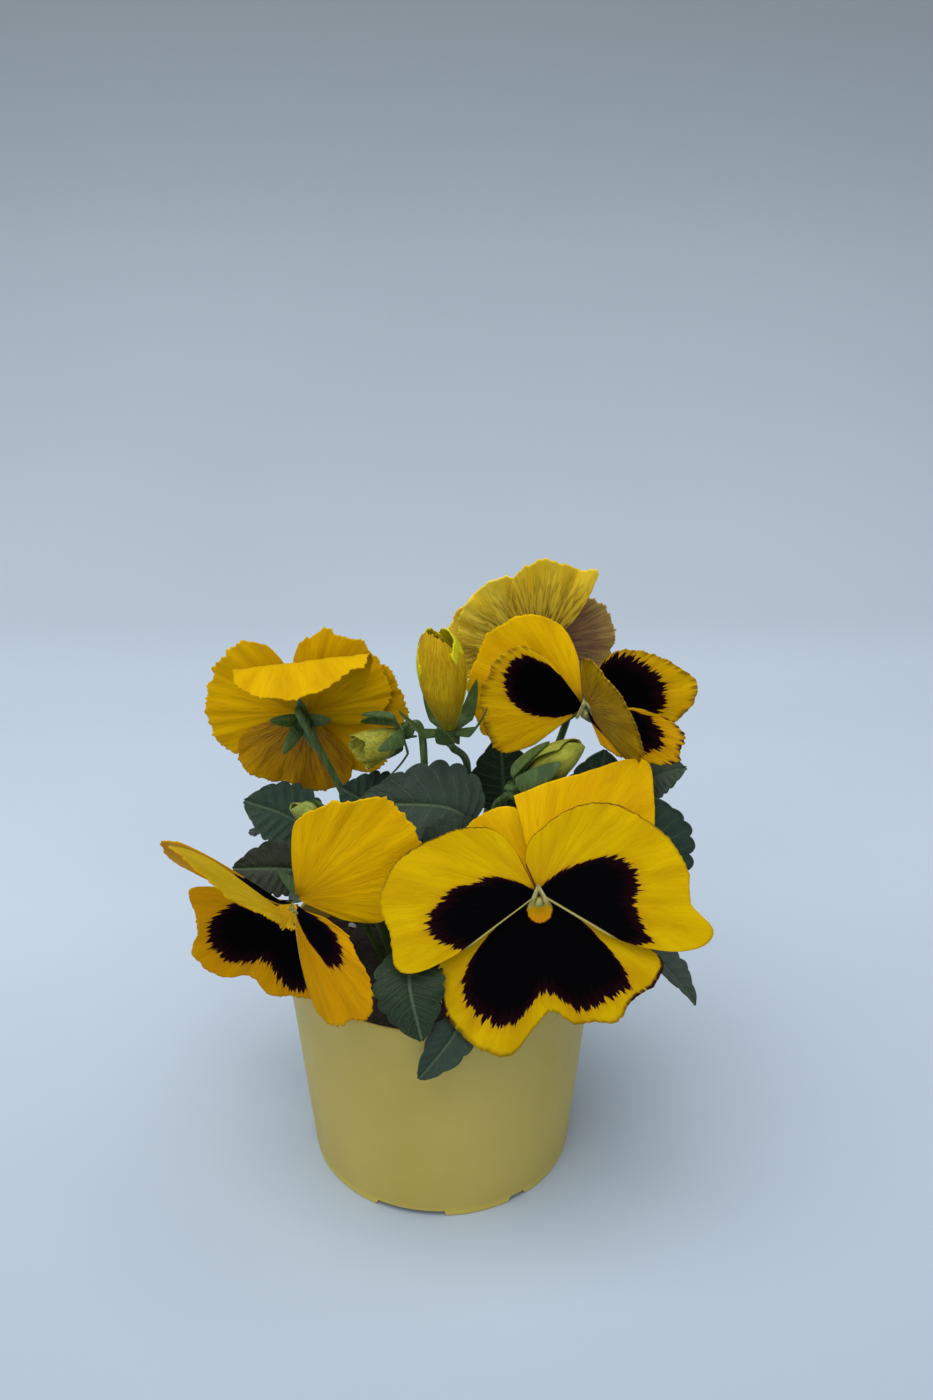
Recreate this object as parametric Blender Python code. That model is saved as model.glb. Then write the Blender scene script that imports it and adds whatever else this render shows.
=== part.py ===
"""A potted pansy: a tapered plastic nursery pot with a notched foot, its potting soil, and a bushy
pansy with five open blooms, a furled bloom, a fading bloom and two buds.

Lengths in the tables are millimetres, and MM turns them into metres. The origin is the middle of
the pot's foot, where it stands. +Z is up, and the plant's show side faces -Y.
"""

import math

import bmesh
import bpy
from mathutils import Matrix, Vector

MM = 0.001

# driving dimensions
RIM_RADIUS = 45.0
POT_HEIGHT = 69.0
FOOT_RADIUS = 38.5
WALL = 1.2
BAND_HEIGHT = 7.0  # the slightly wider band under the rim
BAND_STEP = 0.35
FOOT_HEIGHT = 2.4
FLOOR_THICKNESS = 1.4
POT_SEGMENTS = 48

FOOT_REPEATS = 3  # wide gap, foot, narrow gap, foot, three times round
WIDE_GAP = (-14.0, 29.0)  # centre and width in degrees, from the front towards +X
NARROW_GAP = (33.5, 7.0)

GAP_MARGIN = 0.7  # how far a foot gap reaches above the foot
DRAIN_HOLES = 6
DRAIN_RADIUS = 3.2
DRAIN_CIRCLE = 25.0

SOIL_LEVEL = 60.0
SOIL_MOUND = 2.0
SOIL_SEGMENTS = 32
CLEARANCE = 0.3  # between pieces that touch
SOIL_INSET = WALL + CLEARANCE + 0.2

PETAL_THICKNESS = 0.8
LEAF_THICKNESS = 0.9
PETAL_COLUMNS = 10
PETAL_ROWS = 4
LEAF_COLUMNS = 4
LEAF_ROWS = 10
PETIOLE_WIDTH = 2.2
CLAW = 2.6  # a petal starts this far from the middle of its bloom
PETAL_REACH = 38.0  # a full-sized petal
PETAL_CUP = 1.5  # how far a full-sized petal's edge curls forward

STEM_RADIUS = 2.0
STEM_TAPER = 0.25
STALK_RADIUS = 1.1
TUBE_SIDES = 6
STALK_STEPS = 14
STEM_STEPS = 6
CALYX_DEPTH = 8.0  # from the throat back to the calyx
SEPAL_COUNT = 5
SEPAL_LENGTH = 10.0
SEPAL_WIDTH = 3.4
SEPAL_THICKNESS = 1.4
SEPAL_TAPER = [(0.0, 0.5), (0.35, 1.0), (0.7, 0.75), (1.0, 0.12)]  # (share of length, share of width)
HUB_RADIUS = 1.6  # where the sepals of an open bloom leave the calyx
NECK = 7.0  # straight end of a stalk behind its calyx
NECK_RISE = 4.0  # how far that end stands above the calyx
NECK_END = 0.5

BUD_SIDES = 15
BUD_STAND = 1.2  # from the calyx to the bud
BUD_NECK = 5.0  # straight end of a bud's stalk
BUD_HUB = 0.75  # where its sepals leave the calyx, as a share of the bud's radius
BUD_PLEATS = 3
BUD_TAPER = [(0.0, 0.3), (0.2, 0.72), (0.45, 1.0), (0.7, 0.8), (0.9, 0.45), (1.0, 0.15)]

# Petal outlines
# Each is (angle, radius) about the throat. The angle is clockwise from the petal's own axis, seen
# from the front of the bloom.
OUTLINES = {
    "side_right": [(-72, 8), (-60, 13.5), (-40, 19), (-17, 27.5), (8, 33.7), (33, 38.4), (45, 38.5),
                   (54, 45), (62, 40), (68, 30), (72, 20)],
    "side_left": [(-50, 22), (-46, 36), (-41, 40.5), (-30, 39.4), (-15, 40.3), (-1, 37.5), (15, 30.6),
                  (30, 24.7), (43, 19.5), (50, 11)],
    "lip": [(-62, 24), (-59, 35), (-50, 37), (-38, 36), (-27, 38), (-19, 35.5), (-11, 34.6),
            (-2, 30.4), (6, 34.5), (14, 42), (22, 42.7), (33, 41.2), (46, 37), (55, 34.3), (60, 30),
            (63, 20)],
    "lip_even": [(-60, 22), (-54, 31), (-42, 36), (-30, 37.5), (-15, 36), (0, 34), (15, 36),
                 (30, 37.5), (45, 36), (56, 31), (62, 20)],
    "upper": [(-62, 16), (-52, 28), (-36, 36), (-15, 39), (5, 40), (25, 38.5), (42, 34), (54, 26),
              (62, 15)],
    "upper_point": [(-52, 26), (-40, 27.5), (-22, 32), (-12, 36.5), (-3, 43), (3, 45), (12, 40),
                    (30, 32), (50, 24), (62, 15)],
    "fan": [(-56, 20), (-48, 31), (-30, 37), (-8, 38), (12, 38), (32, 36), (48, 30), (56, 18)],
    "side": [(-44, 22), (-36, 33), (-20, 37), (0, 38), (20, 37), (36, 33), (44, 22)],
    "b_upper": [(-64, 10), (-60, 20), (-50, 25), (-38, 29), (-28, 32), (-18, 36), (-10, 38), (0, 37.5),
                (12, 37.5), (25, 35), (40, 31), (52, 24), (60, 14)],
    "b_lip": [(-66, 14), (-56, 24), (-46, 27), (-36, 27), (-26, 27.5), (-19, 27), (-9, 24.8), (0, 27),
              (8, 30), (18, 31.5), (26, 31.5), (34, 27.5), (44, 26.8), (54, 27.5), (61, 27), (66, 16)],
    "b_side": [(-34, 9), (-26, 15), (-18, 20), (-9, 27), (0, 31), (8, 33), (16, 32), (24, 31),
               (32, 29), (38, 24), (42, 13)],
    "c_right": [(-58, 11), (-50, 17), (-30, 23), (-12, 28), (2, 32.5), (10, 31.5), (20, 28), (32, 24),
                (40, 18)],
    "c_low": [(-28, 14), (-20, 23), (-12, 27.5), (2, 29), (10, 25), (18, 20), (30, 15.5), (40, 11)],
    "crest": [(-36, 18), (-30, 31), (-25, 40), (-18, 37), (-6, 38), (6, 40), (16, 38), (26, 32),
              (34, 20)],
    "roof": [(-10, 26), (-4, 38), (8, 40), (22, 32), (40, 20), (62, 13), (84, 9)],
    "eave": [(-36, 20), (-28, 31), (-18, 36), (-6, 38), (2, 35), (6, 26)],
}

# Open blooms
# throat: the middle of the bloom. face: azimuth (0 faces -Y, positive turns towards +X), elevation
# and roll (clockwise, seen from the front). A petal is (outline, size, clock, lift, twist, layer,
# bends). clock is the direction of its axis, clockwise from the bloom's own top. lift tips it
# forward, twist turns it about its axis, and layer is how far in front of the throat it starts. A
# bend is (distance from the throat, heading from the axis, bend radius, angle). It rolls forward
# where the angle is positive, and bends are listed from the tip inwards.
BLOOMS = {
    "a": {
        "throat": (25, -36, 105), "face": (-4, 27, -5), "sepals": -50,
        "stalk": [(12, -9, 62), (16, -11, 84), (20, -14, 98)],
        "petals": {
            "side_right": ("side_right", 1.0, 52, 0, 0, 0.0, [(24, 0, 30, -14)]),
            "side_left": ("side_left", 1.0, -73, 2, 0, 0.2, [(24, 0, 30, -12)]),
            "lip": ("lip", 1.0, 180, -2, 0, -1.8, [(22, 0, 30, -6)]),
            "upper_right": ("upper_point", 1.0, 42, -14, 0, -3.2, []),
            "upper_left": ("side", 0.68, -47, -14, 0, -4.8, []),
        },
    },
    "b": {
        "throat": (-38, -31, 99), "face": (-10, 2, 0), "sepals": -40,
        "stalk": [(-13, -7, 62), (-18, -9, 84), (-25, -11, 96)],
        "petals": {
            "side_right": ("b_side", 1.06, 128, 22, 4, 0.0, []),
            "side_left": ("eave", 1.0, -46, 16, -34, 1.2, []),
            "lip": ("b_lip", 1.0, 216, 8, 0, -1.8, []),
            "upper_right": ("b_upper", 0.95, 58, -24, 0, -3.6, []),
            "upper_left": ("roof", 0.97, -38, 24, -68, 4.4, []),
        },
    },
    "c": {
        "throat": (40, 8, 137), "face": (4, 14, 0), "sepals": -40,
        "stalk": [(12, 8, 62), (24, 16, 92), (36, 22, 124)],
        "petals": {
            "side_right": ("c_right", 0.97, 77, 4, 0, -0.4, []),
            "side_left": ("side", 0.78, -80, 6, 0, 0.0, []),
            "lip": ("c_low", 1.0, 118, 20, 0, 1.2, []),
            "upper_right": ("upper", 0.68, 66, 72, 0, 2.2, []),
            "upper_left": ("upper", 0.82, -66, -14, 0, -3.0, []),
        },
    },
    "d": {
        "throat": (28.5, 44, 140.6), "face": (186, 12, 0), "sepals": -40,
        "stalk": [(6, 14, 62), (14, 26, 94), (22, 34, 121)],
        "petals": {
            "side_right": ("fan", 0.7, 74, 0, 0, 0.0, []),
            "side_left": ("fan", 0.65, -81, 0, 0, 0.0, []),
            "lip": ("lip_even", 0.7, 170, 0, 0, -1.8, []),
            "upper_right": ("upper", 0.71, 32, 0, 0, -3.0, []),
            "upper_left": ("crest", 0.8, -6, 0, 0, -4.6, []),
        },
    },
    "e": {
        "throat": (-38, 24, 129), "face": (180, -6, 0), "sepals": -40,
        "stalk": [(-10, 7, 62), (-20, 10, 92), (-28, 9, 113)],
        "petals": {
            "side_right": ("fan", 0.76, 76, 0, 0, 0.0, []),
            "side_left": ("fan", 0.76, -95, 0, 0, 0.0, []),
            "lip": ("lip_even", 0.66, 165, 0, 0, -1.8, []),
            "upper_right": ("upper", 0.86, -2, -16, 0, -3.2, [(15, 10, 4, -105)]),
            "upper_left": ("upper", 0.68, -46, 0, 0, -1.8, []),
        },
    },
}

# Closed blooms and buds
# base: where the calyx sits. tip: the end of the bloom. radius: its widest. folds: how deeply its
# wrapped petals groove it.
BUDS = {
    "f": {"base": (3, 4, 132), "tip": (-1, 0, 163), "radius": 7.0, "folds": 0.16, "sepals": 62,
          "stalk": [(0, 6, 62), (6, 10, 90), (8, 9, 118)]},
    "g": {"base": (-10, 6, 131), "tip": (-23, 2, 127), "radius": 6.0, "folds": 0.2, "sepals": 50,
          "stalk": [(-4, 5, 62), (-4, 7, 92), (-4, 4, 122)]},
    "h": {"base": (21.5, -8, 121), "tip": (38, -8, 134), "radius": 5.6, "folds": 0.08, "sepals": 66,
          "stalk": [(8, -2, 62), (13, -2, 92), (15, -3, 111)]},
    "i": {"base": (-31, -5, 109), "tip": (-40, -6, 115), "radius": 3.2, "folds": 0.05, "sepals": 60,
          "stalk": [(-8, -2, 62), (-18, -3, 84), (-25, -4, 100)]},
}

# Stems and leaves
STEMS = {
    "front": [(-2, -4, 62), (-2, -5, 74), (-1, -5, 88)],
    "left": [(-9, 1, 62), (-12, 1, 74), (-16, 1, 88)],
    "right": [(13, 3, 62), (15, 4, 76), (18, 4, 90)],
    "back": [(-2, 12, 62), (-2, 14, 76), (-1, 17, 92)],
}

# A leaf is (its middle line from the foot of its stalk to its tip, width, share of its length that
# is stalk, the way its upper face looks, how far its halves fold up, in degrees).
LEAVES = {
    "centre": ([(3, -9, 62), (7, -8, 90), (9, -7, 106), (2, -6, 114), (-22, -7, 116)], 24, 0.58,
               (0.0, -0.7, 0.7), 10),
    "centre_front": ([(-4, -9, 62), (-8, -14, 88), (-8, -17, 101), (2, -17, 107), (15, -15, 112)], 17,
                     0.6, (0.0, -0.9, 0.45), 10),
    "right": ([(24, 2, 62), (40, -4, 74), (53, -8, 86), (58, -7, 102), (58, -6, 116)], 26, 0.45,
              (0.3, -0.9, 0.2), 8),
    "right_low": ([(30, -6, 62), (42, -12, 74), (54, -16, 77), (63, -20, 70), (71, -22, 60)], 11, 0.5,
                  (0.5, -0.3, 0.8), 20),
    "left": ([(-16, -3, 62), (-24, -8, 84), (-33, -11, 96), (-43, -12, 99), (-56, -12, 99)], 15, 0.58,
             (0.0, -0.85, 0.5), 8),
    "left_back": ([(-16, 6, 62), (-24, 9, 84), (-34, 8, 97), (-44, 9, 104), (-55, 10, 108)], 19, 0.5,
                  (0.0, -0.8, 0.6), 8),
    "front": ([(-1, -12, 62), (-4, -22, 80), (-7.5, -34, 88), (-8, -45, 84), (-5, -50.5, 71)], 18, 0.55,
              (0.0, -0.8, 0.6), 6),
    "front_low": ([(9, -14, 62), (8, -30, 71), (6, -42, 73.5), (2.5, -47.5, 69), (-6, -48.5, 57)], 11,
                  0.55, (0.0, -0.9, 0.4), 10),
    "middle": ([(17, 9, 62), (20, 9, 84), (19, 9, 104), (18, 9, 114), (17, 8, 128)], 20, 0.5,
               (0.0, -0.9, 0.4), 8),
    "middle_right": ([(26, 8, 62), (34, 6, 84), (40, 6, 102), (44, 6, 111), (46, 7, 124)], 22, 0.5,
                     (0.0, -0.9, 0.4), 8),
    "right_top": ([(30, 14, 62), (44, 14, 90), (55, 12, 106), (61, 10, 114), (69, 8, 118)], 13, 0.6,
                  (0.2, -0.6, 0.8), 10),
    "middle_left": ([(-6, 9, 62), (-12, 5, 90), (-14, 4, 104), (-19, 3, 110), (-27, 2, 116)], 20, 0.55,
                    (0.1, -0.8, 0.6), 10),
    "back": ([(0, 20, 62), (-2, 34, 80), (-4, 41, 89), (-6, 47, 90), (-8, 52, 86)], 28, 0.5,
             (0.0, 0.5, 0.9), 8),
    "back_right": ([(20, 22, 62), (30, 32, 78), (38, 37, 86), (46, 42, 86), (54, 46, 78)], 26, 0.5,
                   (0.3, 0.3, 0.9), 8),
    "back_left": ([(-18, 18, 62), (-28, 28, 78), (-38, 34, 86), (-48, 38, 86), (-58, 42, 79)], 26, 0.5,
                  (-0.3, 0.3, 0.9), 8),
}


def smoothValue(points, x):
    """The height at x of a smooth curve through (x, height) points."""
    last = len(points) - 1
    i = 0
    while i < last - 1 and x > points[i + 1][0]:
        i += 1
    slopes = []
    for k in (i, i + 1):
        low = points[max(k - 1, 0)]
        high = points[min(k + 1, last)]
        slopes.append((high[1] - low[1]) / (high[0] - low[0]))
    span = points[i + 1][0] - points[i][0]
    t = min(max((x - points[i][0]) / span, 0.0), 1.0)
    rise = points[i + 1][1] - points[i][1]
    start = slopes[0] * span
    end = slopes[1] * span
    return points[i][1] + t * (start + t * (3 * rise - 2 * start - end + t * (start + end - 2 * rise)))


def smoothPath(points, count):
    """count + 1 points along a Catmull-Rom curve through the given ones."""
    spots = [Vector(p) for p in points]
    spots = [spots[0] * 2 - spots[1]] + spots + [spots[-1] * 2 - spots[-2]]
    spans = len(points) - 1
    path = []
    for step in range(count + 1):
        i = min(int(step * spans / count), spans - 1)
        t = step * spans / count - i
        a, b, c, d = spots[i:i + 4]
        path.append(0.5 * (2 * b + (c - a) * t + (2 * a - 5 * b + 4 * c - d) * t * t
                           + (3 * b - a - 3 * c + d) * t ** 3))
    return path


def makeObject(name, mesh, material):
    obj = bpy.data.objects.new(name, mesh)
    bpy.context.scene.collection.objects.link(obj)
    if material:
        mesh.materials.append(material)
    return obj


def finish(bm, name, material=None, sharp=40):
    """Turn a bmesh in millimetres into a smooth-shaded object in metres."""
    bmesh.ops.scale(bm, verts=bm.verts, vec=(MM, MM, MM))
    bmesh.ops.recalc_face_normals(bm, faces=bm.faces)
    mesh = bpy.data.meshes.new(name)
    bm.to_mesh(mesh)
    bm.free()
    mesh.shade_smooth()
    mesh.set_sharp_from_angle(angle=math.radians(sharp))
    return makeObject(name, mesh, material)


def makeMaterial(name, colour, roughness, metallic=0.0):
    material = bpy.data.materials.new(name)
    material.use_nodes = True
    shader = material.node_tree.nodes["Principled BSDF"]
    shader.inputs["Base Color"].default_value = (*colour, 1.0)
    shader.inputs["Roughness"].default_value = roughness
    shader.inputs["Metallic"].default_value = metallic
    return material


def makeCutter(bm, name):
    """An object that shapes another one and isn't part of the plant itself."""
    cutter = finish(bm, name)
    cutter.hide_render = True
    cutter.display_type = "WIRE"
    return cutter


def addBoolean(obj, other, operation):
    modifier = obj.modifiers.new(other.name, "BOOLEAN")
    modifier.operation = operation
    modifier.object = other
    modifier.solver = "EXACT"


def spinProfile(profile, segments):
    """A closed (radius, height) outline turned round Z."""
    bm = bmesh.new()
    verts = [bm.verts.new((r, 0, z)) for r, z in profile]
    edges = [bm.edges.new((verts[i], verts[i - 1])) for i in range(len(verts))]
    bmesh.ops.spin(bm, geom=verts + edges, axis=(0, 0, 1), cent=(0, 0, 0), angle=math.tau,
                   steps=segments, use_merge=True, use_duplicate=False)
    bmesh.ops.remove_doubles(bm, verts=bm.verts, dist=0.001)
    return bm


def potRadius(height):
    return FOOT_RADIUS + (RIM_RADIUS - BAND_STEP - FOOT_RADIUS) * height / POT_HEIGHT


def buildPot():
    band = POT_HEIGHT - BAND_HEIGHT
    floor = FOOT_HEIGHT + FLOOR_THICKNESS
    profile = [(0.0, FOOT_HEIGHT), (potRadius(0) - 2.6, FOOT_HEIGHT), (potRadius(0) - 2.0, 0.0),
               (potRadius(0), 0.0), (potRadius(band), band), (potRadius(band) + BAND_STEP, band + 0.6),
               (RIM_RADIUS, POT_HEIGHT), (RIM_RADIUS - WALL, POT_HEIGHT),
               (potRadius(floor) - WALL, floor), (0.0, floor)]
    pot = finish(spinProfile(profile, POT_SEGMENTS), "pot",
                 makeMaterial("pot plastic", (0.52, 0.44, 0.14), 0.45), 30)
    addBoolean(pot, buildPotCutter(), "DIFFERENCE")


def buildPotCutter():
    """Wedges for the gaps in the foot, and the drainage holes."""
    bm = bmesh.new()
    for repeat in range(FOOT_REPEATS):
        for centre, width in (WIDE_GAP, NARROW_GAP):
            middle = math.radians(centre + repeat * 360 / FOOT_REPEATS - 90)
            addWedge(bm, middle, math.radians(width))
    for hole in range(DRAIN_HOLES):
        turn = Matrix.Rotation(hole * math.tau / DRAIN_HOLES, 4, "Z")
        place = turn @ Matrix.Translation((DRAIN_CIRCLE, 0, FOOT_HEIGHT))
        bmesh.ops.create_cone(bm, cap_ends=True, segments=12, radius1=DRAIN_RADIUS,
                              radius2=DRAIN_RADIUS, depth=3 * FLOOR_THICKNESS, matrix=place)
    return makeCutter(bm, "pot_cutter")


def addWedge(bm, middle, width):
    """A wedge that cuts the foot's ring, from below the ground up into the foot."""
    inner = FOOT_RADIUS - 6
    outer = FOOT_RADIUS + 4
    below = -1.0
    corners = []
    for radius, side in ((inner, -0.5), (outer, -0.5), (outer, 0.5), (inner, 0.5)):
        angle = middle + side * width
        corners.append(bm.verts.new((radius * math.cos(angle), radius * math.sin(angle), below)))
    bottom = bm.faces.new(corners)
    top = bmesh.ops.extrude_face_region(bm, geom=[bottom])["geom"]
    raised = [item for item in top if isinstance(item, bmesh.types.BMVert)]
    bmesh.ops.translate(bm, verts=raised, vec=(0, 0, FOOT_HEIGHT + GAP_MARGIN))


def buildSoil():
    low = FOOT_HEIGHT + FLOOR_THICKNESS + CLEARANCE
    edge = potRadius(SOIL_LEVEL) - SOIL_INSET
    profile = [(0.0, low), (potRadius(low) - SOIL_INSET, low), (edge, SOIL_LEVEL - 1.5),
               (edge * 0.72, SOIL_LEVEL), (edge * 0.35, SOIL_LEVEL + SOIL_MOUND * 0.7),
               (0.0, SOIL_LEVEL + SOIL_MOUND * 0.5)]
    finish(spinProfile(profile, SOIL_SEGMENTS), "potting_soil",
           makeMaterial("soil", (0.035, 0.024, 0.017), 0.95), 30)


def bloomMatrix(throat, face):
    """Bloom space has +Z out of the bloom's face and +Y to its top."""
    azimuth, elevation, roll = (math.radians(a) for a in face)
    out = Vector((math.sin(azimuth) * math.cos(elevation), -math.cos(azimuth) * math.cos(elevation),
                  math.sin(elevation)))
    side = Vector((0, 0, 1)).cross(out).normalized()
    turn = Matrix((side, out.cross(side), out)).transposed()
    return Matrix.Translation(throat) @ turn.to_4x4() @ Matrix.Rotation(-roll, 4, "Z")


def bend(point, at, heading, radius, angle):
    """Roll the space past a crease about a cylinder that touches the petal there."""
    along = Vector((math.sin(math.radians(heading)), math.cos(math.radians(heading)), 0))
    distance = point.dot(along) - at
    if distance <= 0:
        return point
    limit = math.radians(abs(angle))
    side = math.copysign(1.0, angle)
    turn = min(distance / radius, limit)
    rest = distance - radius * turn
    height = point.z
    forward = (radius - side * height) * math.sin(turn) + rest * math.cos(turn)
    lift = side * (radius - (radius - side * height) * math.cos(turn) + rest * math.sin(turn))
    across = point - along * point.dot(along)
    return Vector((across.x, across.y, 0)) + along * (at + forward) + Vector((0, 0, lift))


def petalPoint(outline, size, bends, across, out):
    """A point of a petal in its own space. across runs 0 to 1 clockwise, out from claw to edge."""
    first = outline[0][0]
    angle = first + (outline[-1][0] - first) * across
    radius = CLAW + (smoothValue(outline, angle) * size - CLAW) * out
    turn = math.radians(angle)
    share = radius / PETAL_REACH
    point = Vector((radius * math.sin(turn), radius * math.cos(turn), PETAL_CUP * share * share))
    for crease in bends:
        point = bend(point, *crease)
    return point


def buildPetal(name, bloom, petal, material):
    shape, size, clock, lift, twist, layer, bends = petal
    place = bloomMatrix(bloom["throat"], bloom["face"])
    place = place @ Matrix.Rotation(math.radians(-clock), 4, "Z")
    place = place @ Matrix.Translation((0, 0, layer)) @ Matrix.Rotation(math.radians(lift), 4, "X")
    place = place @ Matrix.Rotation(math.radians(twist), 4, "Y")
    bm = bmesh.new()
    rows = []
    for j in range(PETAL_ROWS + 1):
        row = []
        for i in range(PETAL_COLUMNS + 1):
            point = petalPoint(OUTLINES[shape], size, bends, i / PETAL_COLUMNS, j / PETAL_ROWS)
            row.append(bm.verts.new(place @ point))
        rows.append(row)
    fillGrid(bm, rows)
    petal = finish(bm, name, material)
    addThickness(petal, PETAL_THICKNESS)


def fillGrid(bm, rows):
    for low, high in zip(rows, rows[1:]):
        for i in range(len(low) - 1):
            bm.faces.new((low[i], low[i + 1], high[i + 1], high[i]))


def addThickness(obj, thickness):
    modifier = obj.modifiers.new("thickness", "SOLIDIFY")
    modifier.thickness = thickness * MM
    modifier.offset = 0.0


def addTube(bm, path, radii, sides):
    """A closed tube along a path, with a flat cap at each end."""
    rings = []
    across = Vector((1, 0, 0))
    for i, spot in enumerate(path):
        ahead = (path[min(i + 1, len(path) - 1)] - path[max(i - 1, 0)]).normalized()
        across = (across - ahead * across.dot(ahead)).normalized()
        other = ahead.cross(across)
        ring = []
        for k in range(sides):
            turn = k * math.tau / sides
            ring.append(bm.verts.new(spot + (across * math.cos(turn) + other * math.sin(turn)) * radii[i]))
        rings.append(ring)
    closeRings(bm, rings)


def closeRings(bm, rings):
    """Faces between rings of points, and one at each end."""
    for low, high in zip(rings, rings[1:]):
        for k in range(len(low)):
            bm.faces.new((low[k - 1], low[k], high[k], high[k - 1]))
    bm.faces.new(rings[0][::-1])
    bm.faces.new(rings[-1])


def facing(base, out):
    """A frame at base whose +Z points along out."""
    out = out.normalized()
    side = Vector((0, 0, 1)).cross(out).normalized()
    turn = Matrix((side, out.cross(side), out)).transposed()
    return Matrix.Translation(base) @ turn.to_4x4()


def addSepals(bm, lift, inner):
    """A star of flat sepals about Z, as one closed body. They leave the hub at inner and rise by lift."""
    rings = {}
    for side in (SEPAL_THICKNESS / 2, -SEPAL_THICKNESS / 2):
        rings[side] = [sepalEdges(bm, k, side, math.radians(lift), inner) for k in range(SEPAL_COUNT)]
        hub = bm.verts.new((0, 0, side))
        for k, (left, right) in enumerate(rings[side]):
            after = rings[side][(k + 1) % SEPAL_COUNT][1]
            bm.faces.new((hub, right[0], left[0]))
            bm.faces.new((hub, left[0], after[0]))
            for i in range(len(left) - 1):
                bm.faces.new((left[i], right[i], right[i + 1], left[i + 1]))
    top, low = rings.values()
    for k in range(SEPAL_COUNT):
        after = (k + 1) % SEPAL_COUNT
        for upper, lower in zip(top[k], low[k]):
            for i in range(len(upper) - 1):
                bm.faces.new((upper[i], upper[i + 1], lower[i + 1], lower[i]))
        bm.faces.new((top[k][0][-1], top[k][1][-1], low[k][1][-1], low[k][0][-1]))
        bm.faces.new((top[k][0][0], top[after][1][0], low[after][1][0], low[k][0][0]))


def sepalEdges(bm, number, side, tilt, inner):
    """The left and right edges of one face of a sepal."""
    turn = Matrix.Rotation(number * math.tau / SEPAL_COUNT, 4, "Z")
    left = []
    right = []
    for share, wide in SEPAL_TAPER:
        reach = share * SEPAL_LENGTH
        spot = Vector((0, inner + reach * math.cos(tilt), side + reach * math.sin(tilt)))
        half = Vector((SEPAL_WIDTH * wide / 2, 0, 0))
        left.append(bm.verts.new(turn @ (spot - half)))
        right.append(bm.verts.new(turn @ (spot + half)))
    return left, right


def buildStalk(name, path, head, lift, inner, material):
    """A flower stalk joined to its sepals. head is the frame of the calyx."""
    bm = bmesh.new()
    addTube(bm, path, [STALK_RADIUS] * len(path), TUBE_SIDES)
    stalk = finish(bm, name, material)
    bm = bmesh.new()
    addSepals(bm, lift, inner)
    bmesh.ops.transform(bm, matrix=head, verts=bm.verts)
    addBoolean(stalk, makeCutter(bm, name + "_calyx"), "UNION")


def buildBloom(key, bloom, petal_material, stalk_material):
    place = bloomMatrix(bloom["throat"], bloom["face"])
    for petal_name, petal in bloom["petals"].items():
        buildPetal(f"bloom_{key}_{petal_name}", bloom, petal, petal_material)
    head = place @ Matrix.Translation((0, 0, -CALYX_DEPTH))
    neck = place @ Vector((0, NECK_RISE, -CALYX_DEPTH - NECK))
    points = bloom["stalk"] + [neck, head @ Vector((0, NECK_END, 0))]
    buildStalk(f"stalk_{key}", smoothPath(points, STALK_STEPS), head, bloom["sepals"], HUB_RADIUS,
               stalk_material)


def buildBud(key, bud, bud_material, stalk_material):
    """A spindle of wrapped petals on a stalk with hugging sepals."""
    base = Vector(bud["base"])
    tip = Vector(bud["tip"])
    place = facing(base, tip - base)
    length = (tip - base).length
    bm = bmesh.new()
    rings = []
    for share, wide in BUD_TAPER:
        ring = []
        height = BUD_STAND + (length - BUD_STAND) * share
        for k in range(BUD_SIDES):
            turn = k * math.tau / BUD_SIDES
            radius = bud["radius"] * wide * (1 + bud["folds"] * math.cos(BUD_PLEATS * turn + 2 * share))
            spot = Vector((radius * math.cos(turn), radius * math.sin(turn), height))
            ring.append(bm.verts.new(place @ spot))
        rings.append(ring)
    closeRings(bm, rings)
    finish(bm, f"bud_{key}", bud_material)
    points = bud["stalk"] + [place @ Vector((0, 0, -BUD_NECK)), base]
    buildStalk(f"stalk_{key}", smoothPath(points, STALK_STEPS - 2), place, bud["sepals"],
               bud["radius"] * BUD_HUB, stalk_material)


def leafHalfWidth(share, width, stalk):
    """Half the leaf's width at a share of its length, stalk first and then the blade."""
    if share <= stalk:
        return PETIOLE_WIDTH / 2
    blade = (share - stalk) / (1 - stalk)
    full = math.sin(math.pi * blade ** 0.8) ** 0.7 if blade < 1 else 0.0
    return max(full * width / 2, PETIOLE_WIDTH / 2 * (1 - blade) + 0.35)


def buildLeaf(name, leaf, material):
    points, width, stalk, look, fold = leaf
    path = smoothPath(points, LEAF_ROWS * 2)
    bm = bmesh.new()
    rows = []
    shares = [stalk * i / 3 for i in range(3)]
    shares += [stalk + (1 - stalk) * i / (LEAF_ROWS - 3) for i in range(LEAF_ROWS - 2)]
    for share in shares:
        i = share * (len(path) - 1)
        low = min(int(i), len(path) - 2)
        spot = path[low].lerp(path[low + 1], i - low)
        ahead = (path[low + 1] - path[low]).normalized()
        side = ahead.cross(Vector(look)).normalized()
        up = side.cross(ahead)
        half = leafHalfWidth(share, width, stalk)
        row = []
        for k in range(LEAF_COLUMNS + 1):
            reach = (2 * k / LEAF_COLUMNS - 1) * half
            rise = abs(reach) * math.sin(math.radians(fold))
            row.append(bm.verts.new(spot + side * reach + up * rise))
        rows.append(row)
    fillGrid(bm, rows)
    blade = finish(bm, name, material)
    addThickness(blade, LEAF_THICKNESS)


def buildStem(name, points, material):
    bm = bmesh.new()
    path = smoothPath(points, STEM_STEPS)
    radii = [STEM_RADIUS * (1 - STEM_TAPER * i / STEM_STEPS) for i in range(STEM_STEPS + 1)]
    addTube(bm, path, radii, TUBE_SIDES)
    finish(bm, name, material)


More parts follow.
